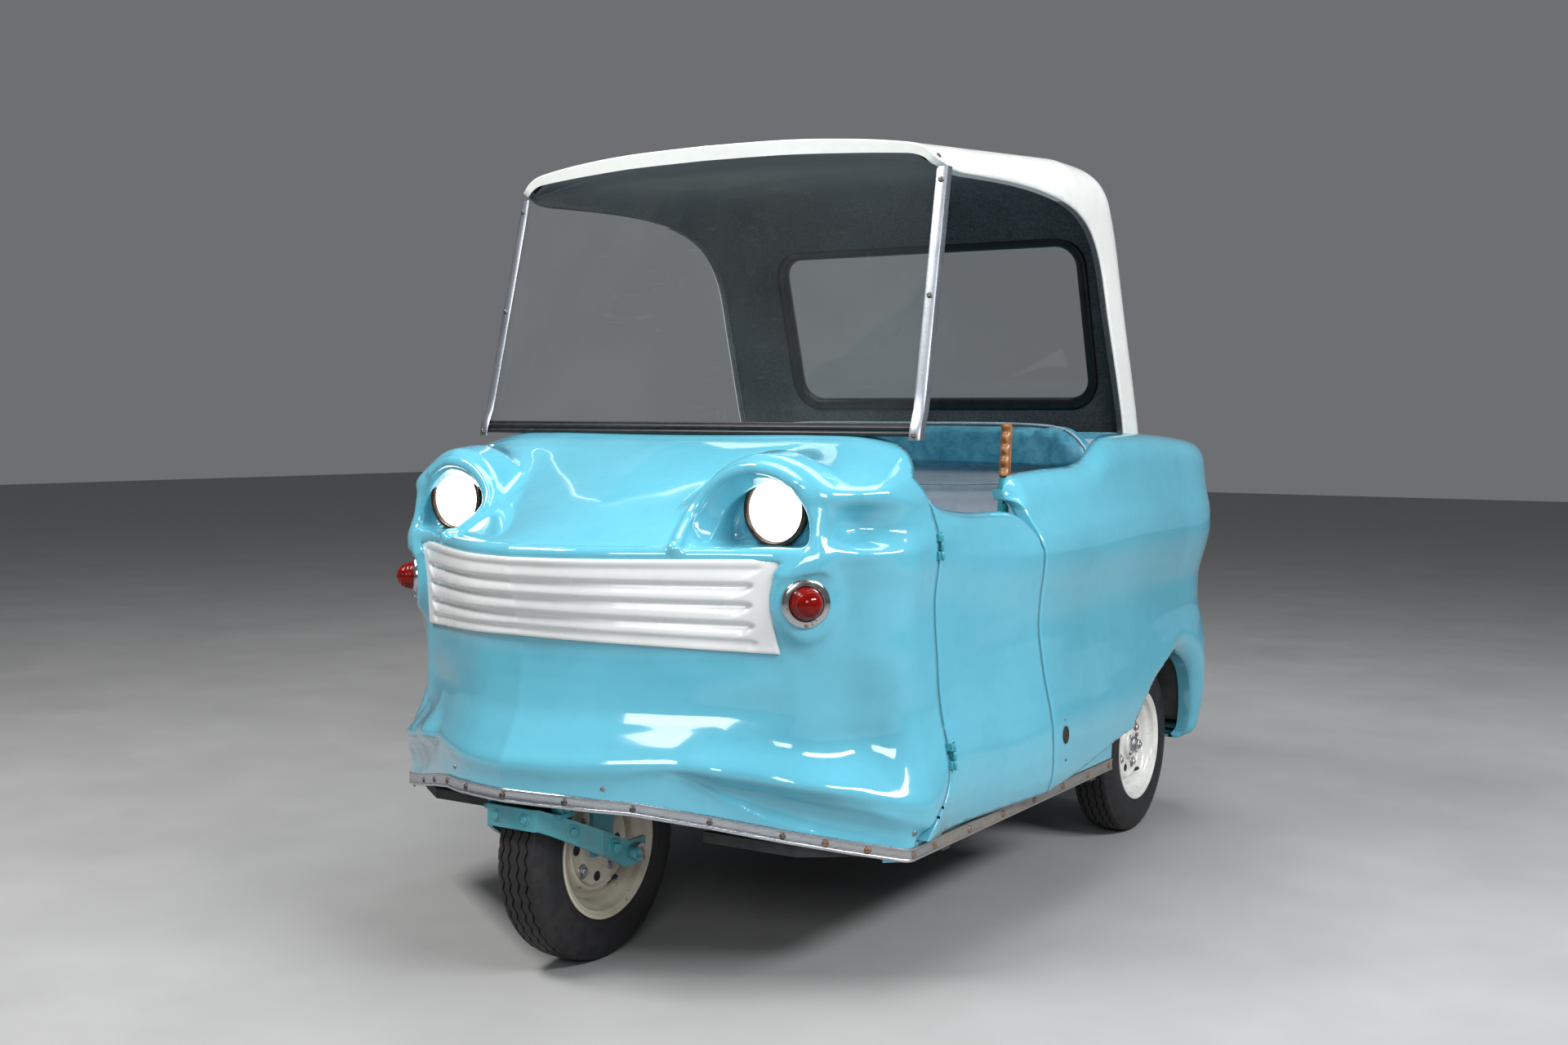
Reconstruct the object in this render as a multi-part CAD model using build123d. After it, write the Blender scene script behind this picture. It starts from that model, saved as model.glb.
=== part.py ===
from build123d import *
import os
import math

os.makedirs("parts", exist_ok=True)

# ---------------------------------------------------------------- main sizes
# millimetres, +Z up, front of the car towards -Y, +X is the car's left side.
# The origin is on the floor, under the middle of the car's length and width.
FRONT_WHEEL_Y = -789.0      # front axle line
REAR_WHEEL_Y = 627.0        # rear axle line
WHEEL_Z = 200.0             # wheel centres
TYRE_R = 200.0
TYRE_HALF_W = 50.0
RIM_R = 118.0               # seat of the tyre on the rim
TRACK_HALF = 440.0          # rear wheels' mid plane
GAP_F = -530.0              # door's front gap line
GAP_R = -160.0              # door's rear gap line
GAP = 5.0                   # full width of each door gap
SKIN_F = 10.0               # nose moulding
SKIN_R = 22.0               # rear tub moulding
DOOR_T = 30.0               # door, outer panel to inner panel
DOOR_BOTTOM = 246.0
FLOOR_Z0, FLOOR_Z1 = 222.0, 240.0
SILL_X = 561.0
STEER_LIMIT = 30.0
COWL_TOP = 914.0
DECK_TOP = 918.0
ROOF_T = 16.0
HINGE_Y = -531.5
HINGE_ZS = (375.0, 730.0)

# nose moulding: half outline from the door gap to the nose, per level
# columns: z, rear edge y, x at gap, (x, y) x 4, nose y
NOSE = [
    (200, -532.5, 562, (563, -648), (480, -714), (400, -778), (200, -928), -1016),
    (246, -532.5, 562, (563, -648), (480, -714), (400, -778), (200, -928), -1016),
    (313, -532.5, 576, (568, -640), (484, -714), (400, -778), (200, -928), -1016),
    (345, -532.5, 576, (568, -640), (486, -714), (400, -778), (200, -928), -1016),
    (372, -532.5, 572, (562, -640), (486, -714), (400, -780), (200, -926), -1013),
    (430, -532.5, 553, (548, -640), (485, -712), (400, -780), (200, -918), -1002),
    (548, -532.5, 545, (535, -630), (478, -708), (400, -768), (200, -900), -978),
    (640, -532.5, 545, (532, -620), (470, -705), (400, -768), (200, -905), -986),
    (722, -532.5, 547, (535, -610), (478, -700), (405, -765), (200, -918), -1002),
    (740, -532.5, 545, (530, -606), (470, -694), (400, -752), (200, -885), -962),
    (800, -532.5, 536, (520, -600), (470, -690), (400, -752), (200, -806), -850),
    (862, -532.5, 520, (505, -590), (455, -670), (400, -722), (200, -710), -712),
    (895, -497.0, 502, (495, -560), (452, -622), (400, -646), (200, -620), -612),
    (COWL_TOP, -490.0, 486, (482, -512), (450, -536), (400, -548), (200, -556), -560),
]
# bottom edge of the nose and of its trim strip: half |x| -> z
SKIRT = [(600, 212), (564, 214), (400, 251), (200, 300), (0, 315)]
TRIM_H = 23.0

# doors: z, x at the front gap, x at the rear gap
DOOR = [
    (246, 562, 590),
    (313, 577, 605),
    (368, 573, 604),
    (450, 556, 590),
    (550, 547, 573),
    (631, 541, 577),
    (693, 547, 583),
    (753, 547, 556),
    (842, 526, 528),
]
DOOR_TOP = [(-535, 842), (-500, 812), (-432, 788), (-330, 777), (-150, 775)]   # y, z

# rear tub: z, x at the door gap, x over the wheel, x at the tail corner, tail y
TUB = [
    (190, 584, 566, 541, 985),
    (245, 596, 580, 558, 1000),
    (313, 605, 584, 561, 1008),
    (368, 604, 582, 561, 1006),
    (450, 590, 574, 555, 996),
    (550, 573, 560, 537, 986),
    (631, 577, 562, 546, 996),
    (704, 583, 580, 574, 1016),
    (782, 560, 566, 562, 1008),
    (850, 540, 556, 552, 1000),
    (DECK_TOP, 520, 545, 540, 990),
]
# top rim of the tub seen from the side: y, z
RIM_TOP = [(-170, 835), (95, 852), (200, 892), (290, DECK_TOP), (1100, DECK_TOP)]
# rear wheel opening seen from the side: y, z
ARCH = [(254, 268), (300, 280), (380, 326), (476, 376), (560, 408), (640, 414), (730, 392),
        (800, 340), (838, 270), (848, 150)]

# roof moulding
CROWN = [  # y, then (x, z) down the half section from the crown to the side
    (-450, (0, 1464), (300, 1452), (466, 1428), (492, 1398)),
    (200, (0, 1512), (300, 1500), (462, 1474), (492, 1436)),
    (700, (0, 1512), (300, 1500), (462, 1474), (492, 1436)),
]
ROOF_SIDE = [(-450, 1400), (-450, 1466), (-45, 1513), (210, 1513), (330, 1494), (415, 1425),
             (470, 1320), (495, 1245), (545, 1084), (597, 920)]      # y, z, outer
ROOF_OPEN = [(-460, 1383), (-335, 1387), (-87, 1395), (155, 1384), (240, 1350), (290, 1310),
             (341, 1232), (410, 1114), (455, 1000), (470, 900)]      # side opening edge
WIN_HALF, WIN_Z0, WIN_Z1, WIN_R = 400.0, 975.0, 1356.0, 60.0


# ---------------------------------------------------------------- helpers
def put(name, shape):
    export_step(shape, f"parts/{name}.step")


def solids(shape):
    return shape.solids() if hasattr(shape, "solids") else [shape]


def whole(shape):
    out = [s for s in shape.solids()]
    return out[0] if len(out) == 1 else Compound(children=out)


def face_at(pts, z):
    return Plane.XY.offset(z) * make_face(Polyline(*[(x, y) for x, y in pts], close=True))


def prism_z(pts, z0, z1):
    return extrude(face_at(pts, z0), z1 - z0, dir=(0, 0, 1))


def prism_x(pts, x0, x1):
    """closed outline of (y, z) points carried from x0 to x1"""
    f = make_face(Polyline(*[(x0, y, z) for y, z in pts], close=True))
    return extrude(f, x1 - x0, dir=(1, 0, 0))


def prism_y(pts, y0, y1):
    """closed outline of (x, z) points carried from y0 to y1"""
    f = make_face(Polyline(*[(x, y0, z) for x, z in pts], close=True))
    return extrude(f, y1 - y0, dir=(0, 1, 0))


def box(x0, x1, y0, y1, z0, z1):
    return Pos((x0 + x1) / 2, (y0 + y1) / 2, (z0 + z1) / 2) * Box(x1 - x0, y1 - y0, z1 - z0)


def cyl_x(r, x0, x1, y, z):
    return Pos((x0 + x1) / 2, y, z) * Rot(0, 90, 0) * Cylinder(r, x1 - x0)


def cyl_y(r, x, y0, y1, z):
    return Pos(x, (y0 + y1) / 2, z) * Rot(90, 0, 0) * Cylinder(r, y1 - y0)


def cyl_z(r, x, y, z0, z1):
    return Pos(x, y, (z0 + z1) / 2) * Cylinder(r, z1 - z0)


def mirror_x(shape):
    return mirror(shape, about=Plane.YZ)


def pair(shape):
    return Compound(children=[whole(shape), whole(mirror_x(shape))])


def lerp_rows(rows, z):
    for a, b in zip(rows, rows[1:]):
        if a[0] <= z <= b[0]:
            t = (z - a[0]) / (b[0] - a[0])
            return [
                tuple(p + t * (q - p) for p, q in zip(u, v)) if isinstance(u, tuple) else u + t * (v - u)
                for u, v in zip(a, b)
            ]
    raise ValueError(z)


def nose_half(z, inset=0.0):
    """points from the door gap to the nose centre, moved inwards by inset"""
    row = lerp_rows(NOSE, z)
    pts = [(row[2], row[1])] + list(row[3:7]) + [(0.0, row[7])]
    if not inset:
        return pts
    out = []
    for i, (x, y) in enumerate(pts):
        a = pts[max(i - 1, 0)]
        b = pts[min(i + 1, len(pts) - 1)]
        dx, dy = b[0] - a[0], b[1] - a[1]
        n = math.hypot(dx, dy)
        nx, ny = (dy / n, -dx / n)           # points inwards, to -x and +y
        if i == len(pts) - 1:
            nx, ny = 0.0, 1.0
        if i == 0:
            nx, ny = -1.0, 0.0
        out.append((x + nx * inset, y + ny * inset))
    return out


def both(half):
    """close a half outline (first point at the rear edge) with its mirror"""
    return half + [(-x, y) for x, y in reversed(half[:-1])]


# ---------------------------------------------------------------- nose moulding
def build_nose():
    outer = loft([face_at(both(nose_half(r[0])), r[0]) for r in NOSE], ruled=True)
    inner_faces = []
    for r in NOSE[:-1]:
        half = nose_half(r[0], SKIN_F)
        half[0] = (half[0][0], half[0][1] + 60)
        half[-1] = (0.0, half[-1][1])
        inner_faces.append(face_at(both(half), r[0]))
    top = nose_half(COWL_TOP, SKIN_F)
    top[0] = (top[0][0], top[0][1] + 60)
    inner_faces.append(face_at(both([(x, y + 6) for x, y in top[:-1]] + [(0, top[-1][1] + 6)]),
                               COWL_TOP - SKIN_F))
    inner_faces = inner_faces[:-2] + inner_faces[-1:]
    inner = loft(inner_faces, ruled=True)
    below = [(x, z) for x, z in SKIRT] + [(-x, z) for x, z in reversed(SKIRT[:-1])]
    under = prism_y([(640, 100)] + below + [(-640, 100)], -1100, -400)
    shell = outer - inner - under
    # recesses for the lamps
    for s in (1, -1):
        shell -= cyl_y(70, s * 352, -900, -690, 793)
    return shell, outer


nose, nose_outer = build_nose()
put("front_body", whole(nose))

# white ribbed panel across the nose
def band(z, d0, d1, xmax):
    """closed strip between two offsets of the nose outline, |x| up to xmax"""
    a = [p for p in nose_half(z, -d0)]
    b = [p for p in nose_half(z, -d1)]

    def clip(pts):
        keep = []
        for p, q in zip(pts, pts[1:]):
            if p[0] > xmax >= q[0]:
                t = (p[0] - xmax) / (p[0] - q[0])
                keep.append((xmax, p[1] + t * (q[1] - p[1])))
            if q[0] <= xmax:
                keep.append(q)
        return keep
    a, b = clip(a), clip(b)
    full_a = a + [(-x, y) for x, y in reversed(a[:-1])]
    full_b = b + [(-x, y) for x, y in reversed(b[:-1])]
    return full_b + list(reversed(full_a))


def strip(z, d0, d1, xs):
    row = band(z, d0, d1, xs)
    return face_at(row, z)


grille = loft([strip(556, 0.4, 10, 396), strip(640, 0.4, 12, 396), strip(712, 0.4, 12, 396)], ruled=True)

# ---------------------------------------------------------------- lamps
LAMP = (352.0, -734.0, 793.0)
bucket = cyl_y(68, LAMP[0], -744, -691, LAMP[2]) - cyl_y(60, LAMP[0], -760, -715, LAMP[2])
put("headlamp_buckets", pair(bucket))
lens = cyl_y(58, LAMP[0], -740, -716, LAMP[2])
put("headlamp_lenses", pair(lens))

TURN = (427.0, -767.0, 646.0)
def turned(shape, away=45):
    return Pos(*TURN) * Rot(0, 0, away) * shape


bezel = turned(Pos(0, 10, 0) * Rot(90, 0, 0) * Cylinder(44, 20) - Pos(0, -2, 0) * Rot(90, 0, 0) * Cylinder(28, 12))
bezel = bezel - nose_outer
bezel = max(bezel.solids(), key=lambda q: q.volume)
rim_clear = turned(Rot(90, 0, 0) * Cylinder(46, 160))
grille = grille - rim_clear - mirror_x(rim_clear)
put("grille_panel", max(grille.solids(), key=lambda q: q.volume))
put("turn_signal_bezels", pair(whole(bezel)))
dome = turned(Pos(0, -12, 0) * Rot(90, 0, 0) * Cone(27.6, 16, 32))
put("turn_signal_lenses", pair(whole(dome)))

# ---------------------------------------------------------------- rear tub
def tub_half(z, inset=0.0):
    row = lerp_rows(TUB, z)
    x0, x1, x2, ty = row[1:5]
    i = inset
    return [(x0 - i, GAP_R + GAP / 2), (x1 - i, 560.0), (x2 - i, 880.0), (x2 - 40 - 0.8 * i, 950.0 - 0.5 * i),
            (x2 - 150 - 0.4 * i, ty - 22 - i), (0.0, ty - i)]


def build_tub():
    outer = loft([face_at(both(tub_half(r[0])), r[0]) for r in TUB], ruled=True)
    rows = []
    for r in TUB[:-1]:
        h = tub_half(r[0], SKIN_R)
        h[0] = (h[0][0], h[0][1] - 60)
        rows.append(face_at(both(h), r[0]))
    h = tub_half(DECK_TOP, SKIN_R)
    h[0] = (h[0][0], h[0][1] - 60)
    rows.append(face_at(both(h), DECK_TOP - SKIN_R))
    inner = loft(rows, ruled=True)
    tub = outer - inner
    tub -= box(-496, 496, -300, 449, 500, 1000)                      # open over the seat
    tub -= prism_x([(-200, 1000)] + RIM_TOP[:1] + RIM_TOP[1:] + [(1100, 1000)], -700, 700)
    tub -= box(-700, 700, -300, 254, 100, DOOR_BOTTOM)               # above the sill strip
    for s in (1, -1):
        a, b = sorted((s * 380, s * 700))
        tub -= prism_x([(254, 100)] + ARCH, a, b)
    return tub


tub = build_tub()
put("rear_body", whole(tub))

# ---------------------------------------------------------------- doors
def build_door():
    rows = []
    y0, y1 = GAP_F + GAP / 2, GAP_R - GAP / 2
    for z, xf, xr in DOOR:
        rows.append(face_at([(xf, y0), (xr, y1), (xr - DOOR_T, y1), (xf - DOOR_T, y0)], z))
    door = loft(rows, ruled=True)
    door -= prism_x([(-560, 1000), (-560, 842)] + DOOR_TOP + [(-100, 1000)], 400, 700)
    return door


# the hinge line leans in towards the top, just outside the door's skin
def hinge_x(z):
    return 557.0 + (730.0 - z) * 0.0789


AX = Vector(-0.0789, 0, 1).normalized()


def on_hinge(shape, z):
    """carry a shape made on the Z axis at the origin to the hinge line at height z"""
    tilt = math.degrees(math.atan(-0.0789))
    return Pos(hinge_x(z), HINGE_Y, z) * Rot(0, tilt, 0) * shape


def knuckles(which):
    out = []
    for z in HINGE_ZS:
        if which == "door":
            k = Cylinder(6.5, 20) - Cylinder(3.0, 40)
            leaf = Pos(-10, 11, 0) * Box(14, 18, 18)
            k = k + leaf + Pos(-3.5, 5, 0) * Box(7, 8, 18)
            k = k - Cylinder(3.0, 40)
            out.append(on_hinge(k, z))
        else:
            k = Pos(0, 0, 19) * Cylinder(6.5, 14) + Pos(0, 0, -19) * Cylinder(6.5, 14) + Cylinder(2.6, 50)
            k += Pos(-10, -12, 19) * Box(14, 18, 14) + Pos(-3.5, -4, 19) * Box(7, 8, 14)
            k += Pos(-10, -12, -19) * Box(14, 18, 14) + Pos(-3.5, -4, -19) * Box(7, 8, 14)
            k = on_hinge(k, z) - nose_outer
            out.append(max(k.solids(), key=lambda q: q.volume))
    return out


door = build_door()
door_leaves = knuckles("door")
body_leaves = knuckles("body")
for k in door_leaves:
    door += k
put("left_door", whole(door))
put("right_door", whole(mirror_x(door)))

# ---------------------------------------------------------------- trim strip
def trim_outline():
    a = nose_half(300, -0.4)
    b = nose_half(300, -3.4)
    outer = [(564.6, 254), (564.6, -649.5)] + [p for p in b if p[0] < 500]
    inner = [(561.4, 254), (561.4 + 0.0, -500.0)]
    return outer, inner, a


t_b = [p for p in nose_half(300, -3.4) if p[0] < 500]
t_a = [p for p in nose_half(300, -0.4) if p[0] < 500]
outer_half = [(566.6, 254), (566.6, -650.5)] + t_b
inner_half = [(563.6, 254), (563.6, -648.9)] + t_a
full = outer_half + [(-x, y) for x, y in reversed(outer_half[:-1])]
full += list(reversed(inner_half + [(-x, y) for x, y in reversed(inner_half[:-1])]))
trim = prism_z(full, 205, 345)
low = [(x, z) for x, z in SKIRT] + [(-x, z) for x, z in reversed(SKIRT[:-1])]
high = [(x, z + TRIM_H) for x, z in SKIRT] + [(-x, z + TRIM_H) for x, z in reversed(SKIRT[:-1])]
trim = trim & prism_y(low + list(reversed(high)), -1100, 400)
put("sill_trim", whole(trim))

# ---------------------------------------------------------------- floor and frame
HOUSE_X, HOUSE_Y, HOUSE_Z = 215.0, -555.0, 475.0
floor_half = [(SILL_X + 2, 250), (SILL_X + 2, -532), (546, -532), (546, -640), (470, -698), (400, -748),
              (300, -748), (HOUSE_X, -748), (HOUSE_X, HOUSE_Y), (0, HOUSE_Y)]
floor = prism_z(floor_half + [(-x, y) for x, y in reversed(floor_half[:-1])], FLOOR_Z0, FLOOR_Z1)
floor += box(-300, 300, 249, 371, FLOOR_Z0, FLOOR_Z1)
put("floor_pan", whole(floor))

housing = box(-HOUSE_X, HOUSE_X, -886, HOUSE_Y, FLOOR_Z0, HOUSE_Z)
housing -= box(-HOUSE_X + 6, HOUSE_X - 6, -1000, HOUSE_Y - 6, 100, HOUSE_Z - 6)
housing -= cyl_z(26, 0, FRONT_WHEEL_Y, 400, 600)
put("front_wheel_housing", whole(housing))

rails = []
for s in (1, -1):
    x0, x1 = sorted((s * 240, s * 280))
    rails.append(box(x0, x1, -560, 412, 190, 222) + box(x0, x1, 372, 412, 190, 332) + box(x0, x1, 372, 930, 300, 332))
put("frame_rails", Compound(children=[whole(r) for r in rails]))
cross = [box(-240, 240, y0, y1, z0, z1) for y0, y1, z0, z1 in
         ((-552, -506, 190, 222), (-120, -80, 190, 222), (380, 404, 300, 332), (896, 924, 300, 332))]
for s in (1, -1):
    x0, x1 = sorted((s * 280, s * 545))
    for y0, y1 in ((-500, -470), (180, 210)):
        cross.append(box(x0, x1, y0, y1, 200, 222))
    x0, x1 = sorted((s * 280, s * 540))
    arm = box(x0, x1, 896, 924, 302, 330) - tub
    cross.append(min(arm.solids(), key=lambda q: abs(q.center().X)))
put("cross_members", Compound(children=[whole(c) for c in cross]))

# gooseneck post and steering head
head = cyl_z(28, 0, FRONT_WHEEL_Y, 492, 600)
head += box(-25, 25, FRONT_WHEEL_Y + 5, -510, 515, 560)
head += box(-25, 25, -550, -510, FLOOR_Z1, 560)
head -= cyl_z(17, 0, FRONT_WHEEL_Y, 400, 700)
put("steering_head", whole(head))

# ---------------------------------------------------------------- front fork
LEG_X0, LEG_X1 = 78.0, 86.0
FY = FRONT_WHEEL_Y
fork = box(-LEG_X1, LEG_X1, FY - 98, FY + 34, 425, 447)
for s in (1, -1):
    x0, x1 = sorted((s * LEG_X0, s * LEG_X1))
    fork += box(x0, x1, FY - 96, FY - 42, 206, 430)
    x0, x1 = sorted((s * LEG_X0, s * 96))
    fork += cyl_x(8, x0, x1, FY - 80, 224)
fork += cyl_z(16.5, 0, FY, 440, 612)
put("fork", whole(fork))

# U-shaped strap that runs round the tyre and carries the axle
def yoke_outline(t):
    outer = [(104, 26), (104, -92), (90, -142), (70, -184), (50, -206)]
    inner = [(96, 26), (96, -90), (82.5, -138), (63.5, -178), (46.5, -198)]
    o = [(x, FY + y) for x, y in outer]
    i = [(x, FY + y) for x, y in inner]
    o = o + [(-x, y) for x, y in reversed(o)]
    i = i + [(-x, y) for x, y in reversed(i)]
    return o + list(reversed(i))


yoke = prism_z(yoke_outline(8), 150, 320)
yoke_side = [(FY - 230, 267), (FY - 230, 303), (FY - 200, 303), (FY - 20, 222), (FY + 30, 222), (FY + 30, 179),
             (FY - 30, 179), (FY - 200, 267)]
yoke = yoke & prism_x(yoke_side, -150, 150)
for s in (1, -1):
    x0, x1 = sorted((s * 54, s * 82))
    yoke += box(x0, x1, FY - 178, FY - 140, 286, 294)       # spring seats
yoke -= cyl_x(9, -150, 150, FY, WHEEL_Z)
put("yoke_band", whole(yoke))

axle = cyl_x(9, -110, 110, FY, WHEEL_Z) + cyl_x(15, 104, 114, FY, WHEEL_Z) + cyl_x(15, -114, -104, FY, WHEEL_Z)
put("front_axle", whole(axle))

# coil springs between the yoke's front corners and the crown
def coil():
    r, wire, turns, length = 13.0, 5.0, 6, 124.0
    tube = Cylinder(r + wire / 2, length) - Cylinder(r - wire / 2, length + 2)
    rings = tube
    # grooves leave a bellows-like sleeve for a spring's outer shape
    return rings


spring = coil()
a = Vector(68, FY - 157, 300)
b = Vector(62, FY - 90, 419)
d = b - a
spring_pl = Plane(origin=(a + b) * 0.5, z_dir=d)
spring = spring_pl * spring
spring = spring & box(0, 200, FY - 300, FY, 294, 425)
put("front_springs", pair(spring))

# ---------------------------------------------------------------- wheels
TYRE_PROFILE = [(-38, 118), (-46, 126), (-50, 150), (-48, 176), (-40, 192), (-28, 199), (0, 200),
                (28, 199), (40, 192), (48, 176), (50, 150), (46, 126), (38, 118)]     # x, r
RIM_PROFILE = [(-44, 122), (-44, 117.7), (-38, 117.7), (38, 117.7), (44, 117.7), (44, 122), (40, 124), (40, 117.7)]


def ring_x(profile, x, y, z):
    """turn a closed (x, r) outline about the wheel's axis"""
    f = make_face(Polyline(*[(p, r, 0) for p, r in profile], close=True))
    return Pos(x, y, z) * revolve(f, axis=Axis.X, revolution_arc=360)


def tyre(x, y):
    return ring_x(TYRE_PROFILE, x, y, WHEEL_Z)


def rim(x, y, bore, side):
    """side +1: the dished disc faces +x"""
    s = side
    barrel = [(-40, 117.6), (-40, 112), (-14, 100), (30, 100), (40, 112), (40, 117.6), (44, 124),
              (46, 124), (46, 110), (30, 92), (20, 92), (16, 60), (26, 52), (26, 34), (42, 30), (42, bore),
              (-42, bore), (-42, 26), (8, 30), (8, 92), (-16, 92), (-46, 110), (-46, 124), (-44, 124)]
    pts = [(s * a_, r_) for a_, r_ in barrel]
    return ring_x(pts, x, y, WHEEL_Z)


put("front_tyre", whole(tyre(0, FY)))
put("front_rim", whole(rim(0, FY, 9.5, 1)))
for name, s in (("rear_left", 1), ("rear_right", -1)):
    put(name + "_tyre", whole(tyre(s * TRACK_HALF, REAR_WHEEL_Y)))
    put(name + "_rim", whole(rim(s * TRACK_HALF, REAR_WHEEL_Y, 14.5, s)))

# ---------------------------------------------------------------- rear axle, springs, drive
ry = REAR_WHEEL_Y
beam = cyl_x(24, -372, 372, ry, WHEEL_Z) + cyl_x(14, -470, 470, ry, WHEEL_Z) + cyl_x(66, -60, 60, ry, WHEEL_Z)
for s in (1, -1):
    x0, x1 = sorted((s * 240, s * 280))
    beam += box(x0, x1, ry - 30, ry + 30, 196, 232)
beam = beam - cyl_x(0.01, 0, 1, ry, 10)
put("rear_axle", whole(beam))

leaf = prism_x([(412, 286), (ry - 200, 262), (ry - 60, 236), (ry - 60, 232), (ry + 60, 232), (ry + 60, 236),
                (ry + 200, 262), (900, 286), (900, 300), (880, 300), (ry + 195, 274), (ry + 60, 250),
                (ry - 60, 250), (ry - 195, 274), (432, 300), (412.3, 300)], 242, 278)
put("leaf_springs", pair(leaf))

motor = box(-75, 75, 440, ry - 20, 152, 262) - cyl_x(66, -100, 100, ry, WHEEL_Z)
motor = max(motor.solids(), key=lambda q: q.volume)
put("drive_motor", motor)

# ---------------------------------------------------------------- seat and cabin
seat_base = box(-400, 400, -40, 400, FLOOR_Z1, 560) - box(-388, 388, -28, 500, 200, 548)
seat_base = seat_base - box(-420, 420, 300, 440, 200, 330)
put("seat_base", whole(seat_base))
battery = box(-230, 230, 10, 290, FLOOR_Z1, 500)
put("battery_pack", battery)
cushion = box(-405, 405, -55, 400, 560.3, 680)
cushion = fillet(cushion.edges().filter_by(Axis.Z), 30)
put("seat_cushion", whole(cushion))
pad = prism_y([(-458, 815), (458, 815), (458, 880), (430, 925), (385, 950), (300, 957), (-300, 957), (-385, 950),
               (-430, 925), (-458, 880)], 378, 430)
put("seat_back", whole(pad))
back_panel = box(-470, 470, 430.3, 446, 420, 905)
put("back_panel", back_panel)

pedals = []
for x in (150, 290):
    px = x + 100
    pedals.append(box(px - 28, px + 28, -668, -660, 300, 370) + box(px - 6, px + 6, -664, -650, FLOOR_Z1, 330))
put("pedals", Compound(children=[whole(p) for p in pedals]))

dash = box(-462, 462, -500, -494, 790, 880)
put("dash_panel", dash)

# ---------------------------------------------------------------- tiller
TX, TY, TZ = 445.0, -90.0, 300.0            # pivot
bracket = box(TX + 16, TX + 22, TY - 20, TY + 20, FLOOR_Z1, TZ + 20)
bracket += box(TX - 22, TX - 16, TY - 20, TY + 20, FLOOR_Z1, TZ + 20)
bracket += cyl_x(6, TX - 22, TX + 22, TY, TZ)
put("tiller_bracket", whole(bracket))
top = Vector(TX, -46, 830)
bot = Vector(TX, TY, TZ)
dv = top - bot
lever = Plane(origin=(top + bot) * 0.5, z_dir=dv) * Cylinder(11, dv.length)
lever += Pos(*bot) * Rot(0, 90, 0) * Cylinder(14, 28)
lever += Plane(origin=top + dv.normalized() * 45, z_dir=dv) * Cylinder(7, 96)
lever -= cyl_x(6.4, TX - 30, TX + 30, TY, TZ)
put("tiller_lever", whole(lever))
grip = Plane(origin=top + dv.normalized() * 55, z_dir=dv) * (Cylinder(12.5, 106) - Pos(0, 0, -7) * Cylinder(7.0, 94))
put("tiller_grip", whole(grip))

# ---------------------------------------------------------------- windscreen
def arc_band(w, y_edge, y_mid, t, z):
    """curved strip in plan: outer arc through the edges and the middle, t thick"""
    o = ThreePointArc((-w, y_edge), (0, y_mid), (w, y_edge))
    l1 = Line((w, y_edge), (w, y_edge + t))
    i = ThreePointArc((w, y_edge + t), (0, y_mid + t), (-w, y_edge + t))
    l2 = Line((-w, y_edge + t), (-w, y_edge))
    return Plane.XY.offset(z) * make_face(Curve() + [o, l1, i, l2])


def glass_y(z):
    """edge and middle of the screen's outer face at height z"""
    t = (z - 920) / (1408 - 920)
    return -499 + 115 * t, -535 + 111 * t


ge, gm = glass_y(938)
te, tm = glass_y(1440)
glass = loft([arc_band(494, ge, gm, 5, 938), arc_band(481, te, tm, 5, 1440)], ruled=True)
glass -= prism_y([(-500, 1500), (-500, 1362), (-454, 1395), (-300, 1419), (0, 1438), (300, 1419), (454, 1395),
                  (500, 1362), (500, 1500)],
                 -600, -300)
put("windshield_glass", whole(glass))
se, sm = glass_y(915)
se2, sm2 = glass_y(937.6)
seal = loft([arc_band(494, se - 7, sm - 7, 18, 914.4), arc_band(494, se2 - 7, sm2 - 7, 18, 937.6)], ruled=True)
put("windshield_seal", whole(seal))


def post():
    rows = []
    for z in (938, 1382):
        e, m = glass_y(z)
        k = 494 - (z - 938) / (1440 - 938) * 13
        rows.append(face_at([(k - 24, e - 7.4), (k + 4, e - 3.4), (k + 4, e + 6), (k + 0.6, e + 6), (k + 0.6, e - 0.5),
                             (k - 24, e - 4.4)], z))
    return loft(rows, ruled=True)


put("windshield_posts", pair(post()))

# ---------------------------------------------------------------- roof
def crown_solid(d):
    rows = []
    for y, *half in CROWN:
        h = [(x - (d if x > 400 else 0), z - d) for x, z in half]
        h.append((h[-1][0], 880.0))
        pts = h + [(-x, z) for x, z in reversed(h[1:])]
        rows.append(make_face(Polyline(*[(x, y, z) for x, z in pts], close=True)))
    return loft(rows, ruled=True)


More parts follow.
